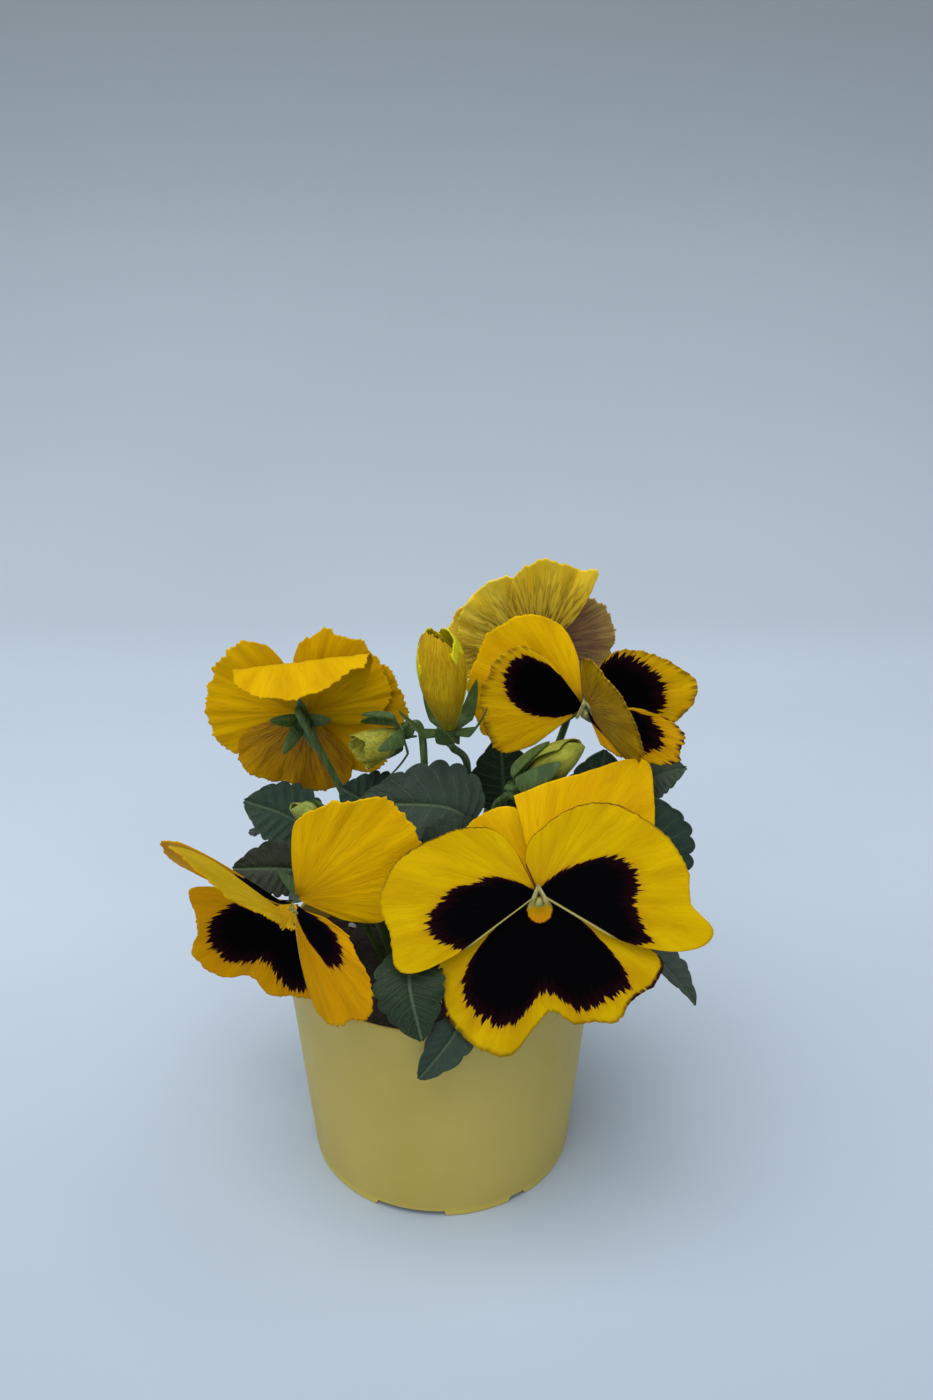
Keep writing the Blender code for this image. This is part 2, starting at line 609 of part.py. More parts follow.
def main():
    for obj in list(bpy.data.objects):
        bpy.data.objects.remove(obj, do_unlink=True)
    yellow = makeMaterial("yellow petal", (0.9, 0.55, 0.01), 0.5)
    bud_yellow = makeMaterial("bud petal", (0.65, 0.6, 0.08), 0.5)
    leaf_green = makeMaterial("leaf", (0.035, 0.085, 0.05), 0.5)
    stalk_green = makeMaterial("stalk", (0.1, 0.2, 0.04), 0.45)
    buildPot()
    buildSoil()
    for key, bloom in BLOOMS.items():
        buildBloom(key, bloom, yellow, stalk_green)
    for key, bud in BUDS.items():
        buildBud(key, bud, bud_yellow, stalk_green)
    for key, points in STEMS.items():
        buildStem(f"stem_{key}", points, stalk_green)
    for key, leaf in LEAVES.items():
        buildLeaf(f"leaf_{key}", leaf, leaf_green)


main()
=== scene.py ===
import math

import bmesh
import bpy
from mathutils import Matrix, Vector, noise


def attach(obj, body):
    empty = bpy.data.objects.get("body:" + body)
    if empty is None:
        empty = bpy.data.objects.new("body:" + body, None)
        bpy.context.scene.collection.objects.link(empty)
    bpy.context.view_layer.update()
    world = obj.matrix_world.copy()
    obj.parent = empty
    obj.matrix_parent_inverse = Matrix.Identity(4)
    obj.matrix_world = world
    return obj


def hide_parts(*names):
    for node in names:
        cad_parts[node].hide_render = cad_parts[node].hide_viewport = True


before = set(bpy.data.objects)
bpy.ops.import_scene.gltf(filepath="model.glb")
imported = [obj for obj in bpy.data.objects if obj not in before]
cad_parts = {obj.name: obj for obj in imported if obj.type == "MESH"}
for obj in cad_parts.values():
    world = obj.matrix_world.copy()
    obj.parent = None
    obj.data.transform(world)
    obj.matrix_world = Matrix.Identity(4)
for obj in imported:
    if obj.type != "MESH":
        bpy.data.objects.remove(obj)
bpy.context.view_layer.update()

mm = 0.001

# camera

view = {"place": (0, -0.32985, 0.29205), "down": 24.3, "right": 1.3, "lens": 35}


def makeCamera():
    camera = bpy.data.objects.new("camera", bpy.data.cameras.new("camera"))
    bpy.context.scene.collection.objects.link(camera)
    camera.location = view["place"]
    camera.rotation_euler = (math.radians(90 - view["down"]), 0, math.radians(-view["right"]))
    camera.data.lens = view["lens"]
    camera.data.clip_start = 0.01
    bpy.context.scene.camera = camera


makeCamera()
print("camera placed")

# shader kit


class Wire:  # a node's output that can be added, multiplied and so on
    def __init__(self, paint, socket):
        self.paint = paint
        self.socket = socket

    def calc(self, operation, *others, clamp=False):
        settings = {"operation": operation, "use_clamp": clamp}
        return self.paint.add("ShaderNodeMath", settings, [self, *others])

    def __add__(self, other):
        return self.calc("ADD", other)

    def __radd__(self, other):
        return self.calc("ADD", other)

    def __sub__(self, other):
        return self.calc("SUBTRACT", other)

    def __rsub__(self, other):
        return self.paint.add("ShaderNodeMath", {"operation": "SUBTRACT"}, [other, self])

    def __mul__(self, other):
        return self.calc("MULTIPLY", other)

    def __truediv__(self, other):
        return self.calc("DIVIDE", other)

    def __pow__(self, other):
        return self.calc("POWER", other)

    def __abs__(self):
        return self.calc("ABSOLUTE")

    def clamp(self):
        return self.calc("ADD", 0.0, clamp=True)

    def step(self, low, high):  # rises from 0 at low to 1 at high
        return self.calc("SUBTRACT", low).calc("DIVIDE", high - low, clamp=True)


class Paint:  # a material under construction
    def __init__(self, name):
        self.material = bpy.data.materials.new(name)
        self.material.use_nodes = True
        self.tree = self.material.node_tree
        self.shader = self.tree.nodes["Principled BSDF"]

    def add(self, kind, settings=None, values=None, out=0):
        node = self.tree.nodes.new(kind)
        for key, setting in (settings or {}).items():
            if key == "stops":
                self.ramp(node.color_ramp, setting)
            else:
                setattr(node, key, setting)
        pairs = values.items() if isinstance(values, dict) else enumerate(values or [])
        for key, value in pairs:
            self.feed(node.inputs[key], value)
        return Wire(self, node.outputs[out])

    def feed(self, socket, value):
        if isinstance(value, Wire):
            self.tree.links.new(value.socket, socket)
        elif socket.type == "RGBA":
            socket.default_value = (*value, 1.0)
        else:
            socket.default_value = value

    def ramp(self, ramp, stops):
        while len(ramp.elements) < len(stops):
            ramp.elements.new(1.0)
        for element, (place, value) in zip(ramp.elements, stops):
            element.position = place
            element.color = (value, value, value, 1.0)

    def mix(self, factor, first, second, blend="MIX"):
        settings = {"data_type": "RGBA", "blend_type": blend}
        return self.add("ShaderNodeMix", settings, {0: factor, 6: first, 7: second}, out=2)

    def split(self, vector):
        node = self.add("ShaderNodeSeparateXYZ", None, [vector]).socket.node
        return [Wire(self, output) for output in node.outputs]

    def join(self, x, y, z=0.0):
        return self.add("ShaderNodeCombineXYZ", None, [x, y, z])

    def map(self, name):
        return self.split(self.add("ShaderNodeUVMap", {"uv_map": name}))[:2]

    def place(self):
        return self.add("ShaderNodeTexCoord", None, None, out=3)

    def grain(self, vector, scale, detail=2.0, rough=0.5):
        values = {"Vector": vector, "Scale": scale, "Detail": detail, "Roughness": rough}
        return self.add("ShaderNodeTexNoise", None, values)

    def bump(self, height, distance, strength=1.0, under=None):
        values = {"Height": height, "Distance": distance, "Strength": strength}
        if under:
            values["Normal"] = under
        return self.add("ShaderNodeBump", None, values)

    def soften(self, weight, radius):  # light enters the surface and spreads
        self.finish(Subsurface_Weight=weight, Subsurface_Radius=radius, Subsurface_Scale=1.0)

    def finish(self, **inputs):
        for key, value in inputs.items():
            self.feed(self.shader.inputs[key.replace("_", " ")], value)
        return self.material


# mesh kit


def smoothValue(points, x):  # height at x of a smooth curve through (x, height) points
    last = len(points) - 1
    i = 0
    while i < last - 1 and x > points[i + 1][0]:
        i += 1
    slopes = []
    for k in (i, i + 1):
        low = points[max(k - 1, 0)]
        high = points[min(k + 1, last)]
        slopes.append((high[1] - low[1]) / (high[0] - low[0]))
    span = points[i + 1][0] - points[i][0]
    t = min(max((x - points[i][0]) / span, 0.0), 1.0)
    rise = points[i + 1][1] - points[i][1]
    start = slopes[0] * span
    end = slopes[1] * span
    return points[i][1] + t * (start + t * (3 * rise - 2 * start - end + t * (start + end - 2 * rise)))


def smoothPath(points, count):  # count + 1 points along a Catmull-Rom curve
    spots = [Vector(p) for p in points]
    spots = [spots[0] * 2 - spots[1]] + spots + [spots[-1] * 2 - spots[-2]]
    spans = len(points) - 1
    path = []
    for step in range(count + 1):
        i = min(int(step * spans / count), spans - 1)
        t = step * spans / count - i
        a, b, c, d = spots[i:i + 4]
        path.append(0.5 * (2 * b + (c - a) * t + (2 * a - 5 * b + 4 * c - d) * t * t
                           + (3 * b - a - 3 * c + d) * t ** 3))
    return path


def alongPath(path, share):
    i = min(max(share, 0.0), 1.0) * (len(path) - 1)
    low = min(int(i), len(path) - 2)
    return path[low].lerp(path[low + 1], i - low)


def wobble(x, y, seed):  # smooth noise from -1 to 1
    return noise.noise(Vector((x, y, seed * 7.31)))


def standing(base, out):  # a frame at base whose +Z points along out
    out = out.normalized()
    side = Vector((0, 0, 1)).cross(out).normalized()
    turn = Matrix((side, out.cross(side), out)).transposed()
    return Matrix.Translation(base) @ turn.to_4x4()


def sweepTube(bm, path, radii, sides):  # a round tube, extruded ring by ring
    across = Vector((1, 0, 0.01))
    frames = []
    for i, spot in enumerate(path):
        ahead = (path[min(i + 1, len(path) - 1)] - path[max(i - 1, 0)]).normalized()
        across = (across - ahead * across.dot(ahead)).normalized()
        turn = Matrix((across, ahead.cross(across), ahead)).transposed().to_4x4()
        frames.append(Matrix.Translation(spot) @ turn @ Matrix.Scale(radii[i], 4))
    start = bmesh.ops.create_circle(bm, cap_ends=True, segments=sides, radius=1.0, matrix=frames[0])
    edges = list({edge for vert in start["verts"] for edge in vert.link_edges})
    for before, after in zip(frames, frames[1:]):
        made = bmesh.ops.extrude_edge_only(bm, edges=edges)["geom"]
        verts = [item for item in made if isinstance(item, bmesh.types.BMVert)]
        bmesh.ops.transform(bm, matrix=after @ before.inverted(), verts=verts)
        ring = set(verts)
        edges = [item for item in made
                 if isinstance(item, bmesh.types.BMEdge) and set(item.verts) <= ring]
    bmesh.ops.holes_fill(bm, edges=edges)
    bmesh.ops.recalc_face_normals(bm, faces=bm.faces)


def placeMesh(bm, name):  # a bmesh in millimetres becomes an object
    bmesh.ops.scale(bm, verts=bm.verts, vec=(mm, mm, mm))
    mesh = bpy.data.meshes.new(name)
    bm.to_mesh(mesh)
    bm.free()
    made = bpy.data.objects.new(name, mesh)
    bpy.context.scene.collection.objects.link(made)
    return made


def makePiece(bm, name, materials, node, sharp=60):
    piece = placeMesh(bm, name)
    piece.data.shade_smooth()
    piece.data.set_sharp_from_angle(angle=math.radians(sharp))
    for material in materials:
        piece.data.materials.append(material)
    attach(piece, "root")
    if node:
        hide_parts(node)
    return piece


def thicken(piece, thickness, back=0):
    modifier = piece.modifiers.new("thickness", "SOLIDIFY")
    modifier.thickness = thickness * mm
    modifier.offset = 0.0
    modifier.material_offset = back
    modifier.use_even_offset = False


def facesOf(verts):
    return {face for vert in verts for face in vert.link_faces}


def sameShares(across, out):
    return across, out


def shapeGrid(bm, columns, rows, spot, maps):
    # a grid whose points are moved to spot(across, out), with maps giving its UVs from the same two
    made = bmesh.ops.create_grid(bm, x_segments=columns, y_segments=rows, size=0.5)["verts"]
    shares = {vert: (vert.co.x + 0.5, vert.co.y + 0.5) for vert in made}
    layers = {key: bm.loops.layers.uv.get(key) or bm.loops.layers.uv.new(key) for key in maps}
    for face in facesOf(made):
        for loop in face.loops:
            for key, layer in layers.items():
                loop[layer].uv = maps[key](*shares[loop.vert])
    for vert, (across, out) in shares.items():
        vert.co = spot(across, out)
    return made


# floor and light

# the paper lies flat from its front edge and rises in a bend behind the object
# wallShade and frontShade set painted shade: a ramp that darkens the wall as it rises, and how strongly
# the floor darkens towards the front
studio = {"width": 4.0, "length": 3.4, "front": -1.2, "rise": 0.30, "radius": 0.28, "sweep": 0.94,
          "columns": 8, "rows": 120, "sky": (0.80, 0.88, 1.0), "skyPower": 0.62, "frontShade": 0.55,
          "wallShade": [(0.43, 0.0), (0.455, 0.10), (0.469, 0.29), (0.492, 0.38), (0.517, 0.50),
                        (0.546, 0.58), (0.568, 0.73), (0.585, 0.86), (0.62, 1.0)]}

# wall and front are the colours of painted shade laid over the paper, which is evenly pale
paperTones = {"dark": (0.515, 0.58, 0.645), "light": (0.57, 0.64, 0.705), "wall": (0.19, 0.21, 0.215),
              "front": (0.25, 0.31, 0.375)}

# a light is (place, aim, size, power, colour)
lights = {
    "overhead": ((-0.15, -0.25, 1.3), (0, 0.05, 0.05), 1.3, 14.5, (0.97, 0.98, 1.0)),
    "front": ((-0.7, -1.2, 0.6), (0, 0, 0.08), 1.2, 3.6, (0.95, 0.97, 1.0)),
}


def makePaper():
    paint = Paint("backdrop paper")
    place = paint.place()
    cloud = paint.grain(place, 2.2, 3.0)
    tone = paint.mix(cloud.step(0.35, 0.7), paperTones["dark"], paperTones["light"])
    run = paint.map("flat")[1]  # painted shade: darker up the wall and towards the front, where less light falls
    # painted shade on the wall, darkening as it rises
    wall = paint.add("ShaderNodeValToRGB", {"stops": studio["wallShade"]}, [run])
    tone = paint.mix(wall, tone, paperTones["wall"])
    # painted shadow on the floor towards the front
    tone = paint.mix((1 - run.step(0.31, 0.39)) * studio["frontShade"], tone, paperTones["front"])
    dimple = paint.grain(place, 9.0, 4.0, 0.6)
    paint.finish(Base_Color=tone, Roughness=0.75, Specular_IOR_Level=0.25,
                 Normal=paint.bump(dimple, 0.004, 0.25))
    bm = bmesh.new()

    def spot(across, out):
        run = studio["front"] + out * studio["length"]
        past = run - studio["rise"]
        bend = studio["radius"] * math.pi / 2 * studio["sweep"]
        y = run
        z = 0.0
        if past > 0:
            turn = min(past, bend) / studio["radius"]
            rest = max(past - bend, 0)
            y = studio["rise"] + studio["radius"] * math.sin(turn) + rest * math.cos(turn)
            z = studio["radius"] * (1 - math.cos(turn)) + rest * math.sin(turn)
        return Vector(((across - 0.5) * studio["width"], y, z)) / mm

    shapeGrid(bm, studio["columns"], studio["rows"], spot, {"flat": sameShares})
    paper = placeMesh(bm, "backdrop")
    paper.data.shade_smooth()
    paper.data.materials.append(paint.material)


def makeLight(name, place, aim, size, power, colour):
    light = bpy.data.objects.new(name, bpy.data.lights.new(name, "AREA"))
    bpy.context.scene.collection.objects.link(light)
    light.data.shape = "DISK"
    light.data.size = size
    light.data.energy = power
    light.data.color = colour
    light.location = place
    light.rotation_euler = (Vector(aim) - Vector(place)).to_track_quat("-Z", "Y").to_euler()


def makeStudio():
    makePaper()
    for name, spec in lights.items():
        makeLight(name, *spec)
    world = bpy.data.worlds.new("room")
    bpy.context.scene.world = world
    world.use_nodes = True
    sky = world.node_tree.nodes["Background"]
    sky.inputs["Color"].default_value = (*studio["sky"], 1.0)
    sky.inputs["Strength"].default_value = studio["skyPower"]
    bpy.context.scene.view_settings.view_transform = "Standard"


makeStudio()
print("floor and light ready")

# pot

# gaps: the middle and the width in degrees of each notch in the foot, repeated round the pot
pot = {"rim": 45.0, "height": 69.0, "foot": 38.5, "wall": 1.1, "band": 7.0, "bandStep": 0.35,
       "footHeight": 2.4, "footRound": 0.6, "floor": 1.4, "repeats": 3,
       "gaps": ((-14.0, 29.0), (33.5, 7.0)), "gapReach": (30, 44), "gapSlope": 0.035, "gapRoof": 0.3,
       "holes": 6, "holeRadius": 3.2, "holeCircle": 25.0, "holeDepth": 5.0, "holeSides": 32,
       "sides": 144, "sharp": 35}

potTones = {"dark": (0.465, 0.345, 0.060), "light": (0.515, 0.388, 0.077), "streak": (0.52, 0.41, 0.11),
            "foot": (0.60, 0.46, 0.06), "smudge": (0.20, 0.14, 0.06)}


def potRadius(height):
    return pot["foot"] + (pot["rim"] - pot["bandStep"] - pot["foot"]) * height / pot["height"]


def paintPot():
    paint = Paint("pale yellow plastic")
    place = paint.place()
    x, y, z = paint.split(place)
    cloud = paint.grain(place, 26.0, 3.0)
    streak = paint.grain(paint.join(x * 60, y * 60, z * 9), 1.0, 2.0)
    tone = paint.mix(cloud.step(0.35, 0.7), potTones["dark"], potTones["light"])
    tone = paint.mix(streak.step(0.45, 0.75) * 0.35, tone, potTones["streak"])
    foot = 1 - z.step(0.0016, 0.0034)
    tone = paint.mix(foot * 0.8, tone, potTones["foot"])
    smudge = paint.grain(place, 140.0, 4.0, 0.7).step(0.63, 0.74) * z.step(0.045, 0.069)
    tone = paint.mix(smudge * 0.35, tone, potTones["smudge"])
    scuff = paint.grain(paint.join(x, y, z * 5), 320.0, 2.0)
    ripple = paint.grain(paint.join(x * 1.2, y * 1.2, z * 0.5), 40.0, 1.0)
    normal = paint.bump(ripple, 0.0012, 0.35)
    normal = paint.bump(scuff, 0.00006, 0.5, under=normal)
    paint.soften(0.12, (0.004, 0.003, 0.001))
    return paint.finish(Base_Color=tone, Roughness=0.40 + scuff * 0.14, Normal=normal,
                        Specular_IOR_Level=0.35)


def spinProfile(bm, profile, sides):
    verts = [bm.verts.new((radius, 0, height)) for radius, height in profile]
    edges = [bm.edges.new((verts[i], verts[i - 1])) for i in range(len(verts))]
    bmesh.ops.spin(bm, geom=verts + edges, axis=(0, 0, 1), cent=(0, 0, 0), angle=math.tau,
                   steps=sides, use_merge=True, use_duplicate=False)
    bmesh.ops.remove_doubles(bm, verts=bm.verts, dist=0.001)
    bmesh.ops.recalc_face_normals(bm, faces=bm.faces)


def roundCorner(x, y, radius, start, end, steps=5):  # points of an arc, angles in degrees
    arc = []
    for i in range(steps + 1):
        turn = math.radians(start + (end - start) * i / steps)
        arc.append((x + radius * math.cos(turn), y + radius * math.sin(turn)))
    return arc


def makePot():
    band = pot["height"] - pot["band"]
    floor = pot["footHeight"] + pot["floor"]
    lip = pot["wall"] / 2
    toe = pot["footRound"]
    profile = [(0.0, pot["footHeight"]), (potRadius(0) - 3.0, pot["footHeight"])]
    profile += [(potRadius(0) - 2.4, 1.9), (potRadius(0) - 1.6, 0.15), (potRadius(0) - 1.3, 0.0)]
    profile += roundCorner(potRadius(0) - toe, toe, toe, -90, 0)
    profile += [(potRadius(3.4), 3.2), (potRadius(20), 20), (potRadius(40), 40)]
    profile += [(potRadius(band) - 0.02, band - 0.4), (potRadius(band) + 0.12, band)]
    profile += [(potRadius(band) + pot["bandStep"], band + 0.8), (pot["rim"] - 0.05, pot["height"] - 2)]
    profile += roundCorner(pot["rim"] - lip, pot["height"] - lip, lip, 0, 180, 8)
    profile += [(potRadius(40) - pot["wall"], 40), (potRadius(20) - pot["wall"], 20)]
    inside = potRadius(floor) - pot["wall"]
    profile += [(inside, floor + 1.0), (inside - 1, floor), (0.0, floor)]
    bm = bmesh.new()
    spinProfile(bm, profile, pot["sides"])
    piece = makePiece(bm, "pot_shell", [paintPot()], "pot", pot["sharp"])
    cutter = makeCutter()
    modifier = piece.modifiers.new("gaps", "BOOLEAN")
    modifier.object = cutter
    modifier.operation = "DIFFERENCE"
    modifier.solver = "EXACT"
    bpy.context.view_layer.update()
    cut = bpy.data.meshes.new_from_object(piece.evaluated_get(bpy.context.evaluated_depsgraph_get()))
    piece.modifiers.clear()
    piece.data = cut
    cut.set_sharp_from_angle(angle=math.radians(pot["sharp"]))
    bpy.data.objects.remove(cutter, do_unlink=True)


def makeCutter():
    bm = bmesh.new()
    height = pot["footHeight"] - pot["gapRoof"]
    inner, outer = pot["gapReach"]
    for repeat in range(pot["repeats"]):
        for centre, width in pot["gaps"]:
            middle = math.radians(centre + repeat * 360 / pot["repeats"] - 90)
            corners = []
            for radius, side in ((inner, -1), (outer, -1), (outer, 1), (inner, 1)):
                turn = middle + side * math.radians(width) / 2
                corners.append(bm.verts.new((radius * math.cos(turn), radius * math.sin(turn), height)))
            top = bm.faces.new(corners)
            made = bmesh.ops.extrude_face_region(bm, geom=[top])["geom"]
            low = [item for item in made if isinstance(item, bmesh.types.BMVert)]
            for vert in low:  # the ends of a gap slope, so it is wider at the bottom
                turn = math.atan2(vert.co.y, vert.co.x)
                away = math.copysign(pot["gapSlope"], math.sin(turn - middle))
                radius = math.hypot(vert.co.x, vert.co.y)
                vert.co = (radius * math.cos(turn + away), radius * math.sin(turn + away), -1.0)
    for hole in range(pot["holes"]):
        turn = Matrix.Rotation(hole * math.tau / pot["holes"], 4, "Z")
        place = turn @ Matrix.Translation((pot["holeCircle"], 0, pot["footHeight"]))
        bmesh.ops.create_cone(bm, cap_ends=True, segments=pot["holeSides"], radius1=pot["holeRadius"],
                              radius2=pot["holeRadius"], depth=pot["holeDepth"], matrix=place)
    bmesh.ops.recalc_face_normals(bm, faces=bm.faces)
    return placeMesh(bm, "cutter")


makePot()
print("pot made")

# petals

# outlines as (angle clockwise from the petal's axis, reach in millimetres)
outlines = {
    "side_right": [(-72, 8), (-60, 13.5), (-40, 19), (-17, 27.5), (8, 33.7), (33, 38.4), (45, 38.5),
                   (54, 45), (62, 40), (68, 30), (72, 20)],
    "side_left": [(-50, 22), (-46, 36), (-41, 40.5), (-30, 39.4), (-15, 40.3), (-1, 37.5), (15, 30.6),
                  (30, 24.7), (43, 19.5), (50, 11)],
    "lip": [(-62, 24), (-59, 35), (-50, 37), (-38, 36), (-27, 38), (-19, 35.5), (-11, 34.6),
            (-2, 30.4), (6, 34.5), (14, 42), (22, 42.7), (33, 41.2), (46, 37), (55, 34.3), (60, 30),
            (63, 20)],
    "lip_even": [(-60, 22), (-54, 31), (-42, 36), (-30, 37.5), (-15, 36), (0, 34), (15, 36),
                 (30, 37.5), (45, 36), (56, 31), (62, 20)],
    "upper": [(-62, 16), (-52, 28), (-36, 36), (-15, 39), (5, 40), (25, 38.5), (42, 34), (54, 26),
              (62, 15)],
    "upper_point": [(-52, 26), (-40, 27.5), (-22, 32), (-12, 36.5), (-3, 43), (3, 45), (12, 40),
                    (30, 32), (50, 24), (62, 15)],
    "fan": [(-56, 20), (-48, 31), (-30, 37), (-8, 38), (12, 38), (32, 36), (48, 30), (56, 18)],
    "side": [(-44, 22), (-36, 33), (-20, 37), (0, 38), (20, 37), (36, 33), (44, 22)],
    "b_upper": [(-64, 10), (-60, 20), (-50, 25), (-38, 29), (-28, 32), (-18, 36), (-10, 38), (0, 37.5),
                (12, 37.5), (25, 35), (40, 31), (52, 24), (60, 14)],
    "b_lip": [(-66, 14), (-56, 24), (-46, 27), (-36, 27), (-26, 27.5), (-19, 27), (-9, 24.8), (0, 27),
              (8, 30), (18, 31.5), (26, 31.5), (34, 27.5), (44, 26.8), (54, 27.5), (61, 27), (66, 16)],
    "b_side": [(-34, 9), (-26, 15), (-18, 20), (-9, 27), (0, 31), (8, 33), (16, 32), (24, 31),
               (32, 29), (38, 24), (42, 13)],
    "c_right": [(-58, 11), (-50, 17), (-30, 23), (-12, 28), (2, 32.5), (10, 31.5), (20, 28), (32, 24),
                (40, 18)],
    "c_low": [(-28, 14), (-20, 23), (-12, 27.5), (2, 29), (10, 25), (18, 20), (30, 15.5), (40, 11)],
    "crest": [(-36, 18), (-30, 31), (-25, 40), (-18, 37), (-6, 38), (6, 40), (16, 38), (26, 32),
              (34, 20)],
    "roof": [(-10, 26), (-4, 38), (8, 40), (22, 32), (40, 20), (62, 13), (84, 9)],
    "eave": [(-36, 20), (-28, 31), (-18, 36), (-6, 38), (2, 35), (6, 26)],
}

# where a blotch ends, as (angle from the petal's axis, reach in millimetres), with the angles of
# a left petal mirrored
blotches = {
    "side_right": [(-30, 2), (-16, 4), (-6, 7.5), (1, 11), (8, 16), (14, 21), (20, 24), (30, 25.5),
                   (40, 25), (48, 24.5), (57, 27), (64, 30.5), (70, 27), (78, 16)],
    "side_left": [(-40, 1), (-24, 3), (-14, 8), (-8, 13), (2, 16), (8, 21), (17, 25), (24, 28.5),
                  (33, 29.5), (45, 25.5), (51, 24), (60, 13)],
    "lip": [(-64, 4), (-56, 10), (-50, 20), (-44, 31), (-38, 33), (-30, 31.5), (-20, 32), (-14, 31),
            (-9, 27.5), (-1, 24.8), (6, 26.5), (11, 31), (15, 34), (24, 35), (36, 34), (43, 31),
            (48, 27), (53, 19), (59, 9), (64, 4)],
    "b_lip": [(-66, 18), (-58, 22), (-50, 24), (-42, 24.8), (-34, 25), (-26, 23), (-18, 20),
              (-11, 18.5), (-4, 20), (4, 23), (12, 25), (22, 26), (32, 25), (42, 22), (52, 16),
              (60, 8), (66, 4)],
    "b_side": [(-34, 4), (-26, 10), (-18, 14), (-8, 17.5), (2, 19), (10, 17), (16, 11), (24, 4),
               (30, 2)],
    "c_left": [(-46, 12), (-40, 21), (-33, 29), (-25, 32), (-15, 32), (-5, 30), (4, 26), (13, 20),
               (22, 14), (32, 7), (44, 3)],
    "c_right": [(-58, 11), (-46, 18), (-30, 20), (-14, 22), (0, 23.5), (12, 22.5), (24, 21), (34, 18),
                (40, 12)],
    "c_low": [(-28, 10), (-20, 18), (-10, 22), (0, 23.5), (10, 20), (18, 15), (28, 9), (40, 4)],
}

# a look is one side of a petal: its two yellows, and how strong its veins, dark edge, purple web
# and stain are
looks = {
    "a_side_right": {"deep": (0.46, 0.27, 0.0005), "pale": (0.58, 0.37, 0.0005), "blotch": "side_right",
                     "veins": 0.30, "edge": ("upper", 0.9), "hem": True},
    "a_side_left": {"deep": (0.46, 0.27, 0.0005), "pale": (0.58, 0.37, 0.0005), "blotch": "side_left",
                    "veins": 0.30, "edge": ("upper", 0.9), "hem": True},
    "a_lip": {"deep": (0.44, 0.245, 0.001), "pale": (0.58, 0.36, 0.001), "blotch": "lip",
              "veins": 0.35, "edge": ("flanks", 1.0), "spot": True},
    "plain": {"deep": (0.58, 0.305, 0.001), "pale": (0.70, 0.41, 0.001), "veins": 0.4},
    "b_lip": {"deep": (0.46, 0.20, 0.001), "pale": (0.57, 0.28, 0.001), "blotch": "b_lip",
              "veins": 0.3, "spot": True},
    "b_side": {"deep": (0.46, 0.20, 0.001), "pale": (0.56, 0.27, 0.001), "blotch": "b_side",
               "veins": 0.35, "hem": True},
    "c_left": {"deep": (0.50, 0.27, 0.001), "pale": (0.60, 0.35, 0.002), "blotch": "c_left",
               "veins": 0.5, "edge": ("ragged", 0.6)},
    "c_right": {"deep": (0.50, 0.27, 0.001), "pale": (0.60, 0.35, 0.002), "blotch": "c_right",
                "veins": 0.4, "edge": ("ragged", 0.6)},
    "c_low": {"deep": (0.48, 0.24, 0.001), "pale": (0.58, 0.31, 0.002), "blotch": "c_low",
              "veins": 0.4, "edge": ("ragged", 1.0)},
    "aged": {"deep": (0.30, 0.17, 0.002), "pale": (0.46, 0.28, 0.003), "veins": 0.9,
             "edge": ("ragged", 0.6), "web": 0.45},
    "back": {"deep": (0.44, 0.29, 0.004), "pale": (0.54, 0.37, 0.012), "veins": 0.55},
    "e_back": {"deep": (0.50, 0.27, 0.001), "pale": (0.62, 0.355, 0.001), "veins": 0.4},
    # the hanging lip of bloom e: its darker yellows are partly painted shade, laid under its own dark
    # veins and stain
    "e_lip_shaded": {"deep": (0.34, 0.165, 0.001), "pale": (0.46, 0.24, 0.002), "veins": 0.6, "web": 0.6,
              "stain": (-2.0, 0.8)},
    # bloom d's yellows are partly its own colour and partly painted light: the brightness of light
    # shining through its petals from behind is painted into these tones
    "d_yellow_backlit": {"deep": (0.84, 0.55, 0.020), "pale": (0.95, 0.70, 0.065), "veins": 0.2, "web": 0.75},
    "d_crest_backlit": {"deep": (0.74, 0.46, 0.012), "pale": (0.86, 0.58, 0.035), "veins": 0.25, "web": 0.75},
    "d_purple_backlit": {"deep": (0.50, 0.32, 0.050), "pale": (0.66, 0.46, 0.080), "veins": 0.6, "web": 1.0,
                 "stain": (2.2, 4.6)},
}

# the look of a petal's other side, which is back where none is given
otherSides = {"d_yellow_backlit": "d_yellow_backlit", "d_crest_backlit": "d_crest_backlit", "d_purple_backlit": "d_purple_backlit", "e_back": "e_back",
              "e_lip_shaded": "e_lip_shaded", "plain": "back", "aged": "aged"}


rampReach = 50.0  # no blotch reaches this far

# colours that lie over a petal's yellows
petalTones = {"vein": (0.22, 0.085, 0.004), "claw": (0.40, 0.185, 0.004), "glow": (0.40, 0.17, 0.003),
              "blotch": (0.0008, 0.0005, 0.0008), "rim": (0.018, 0.0024, 0.0045),
              "hem": (0.42, 0.36, 0.10), "spot": ((0.60, 0.33, 0.004), (0.56, 0.20, 0.003)),
              "edge": (0.035, 0.010, 0.006), "haze": (0.20, 0.09, 0.045), "web": (0.060, 0.016, 0.018),
              "stain": ((0.14, 0.048, 0.062), (0.27, 0.13, 0.115))}


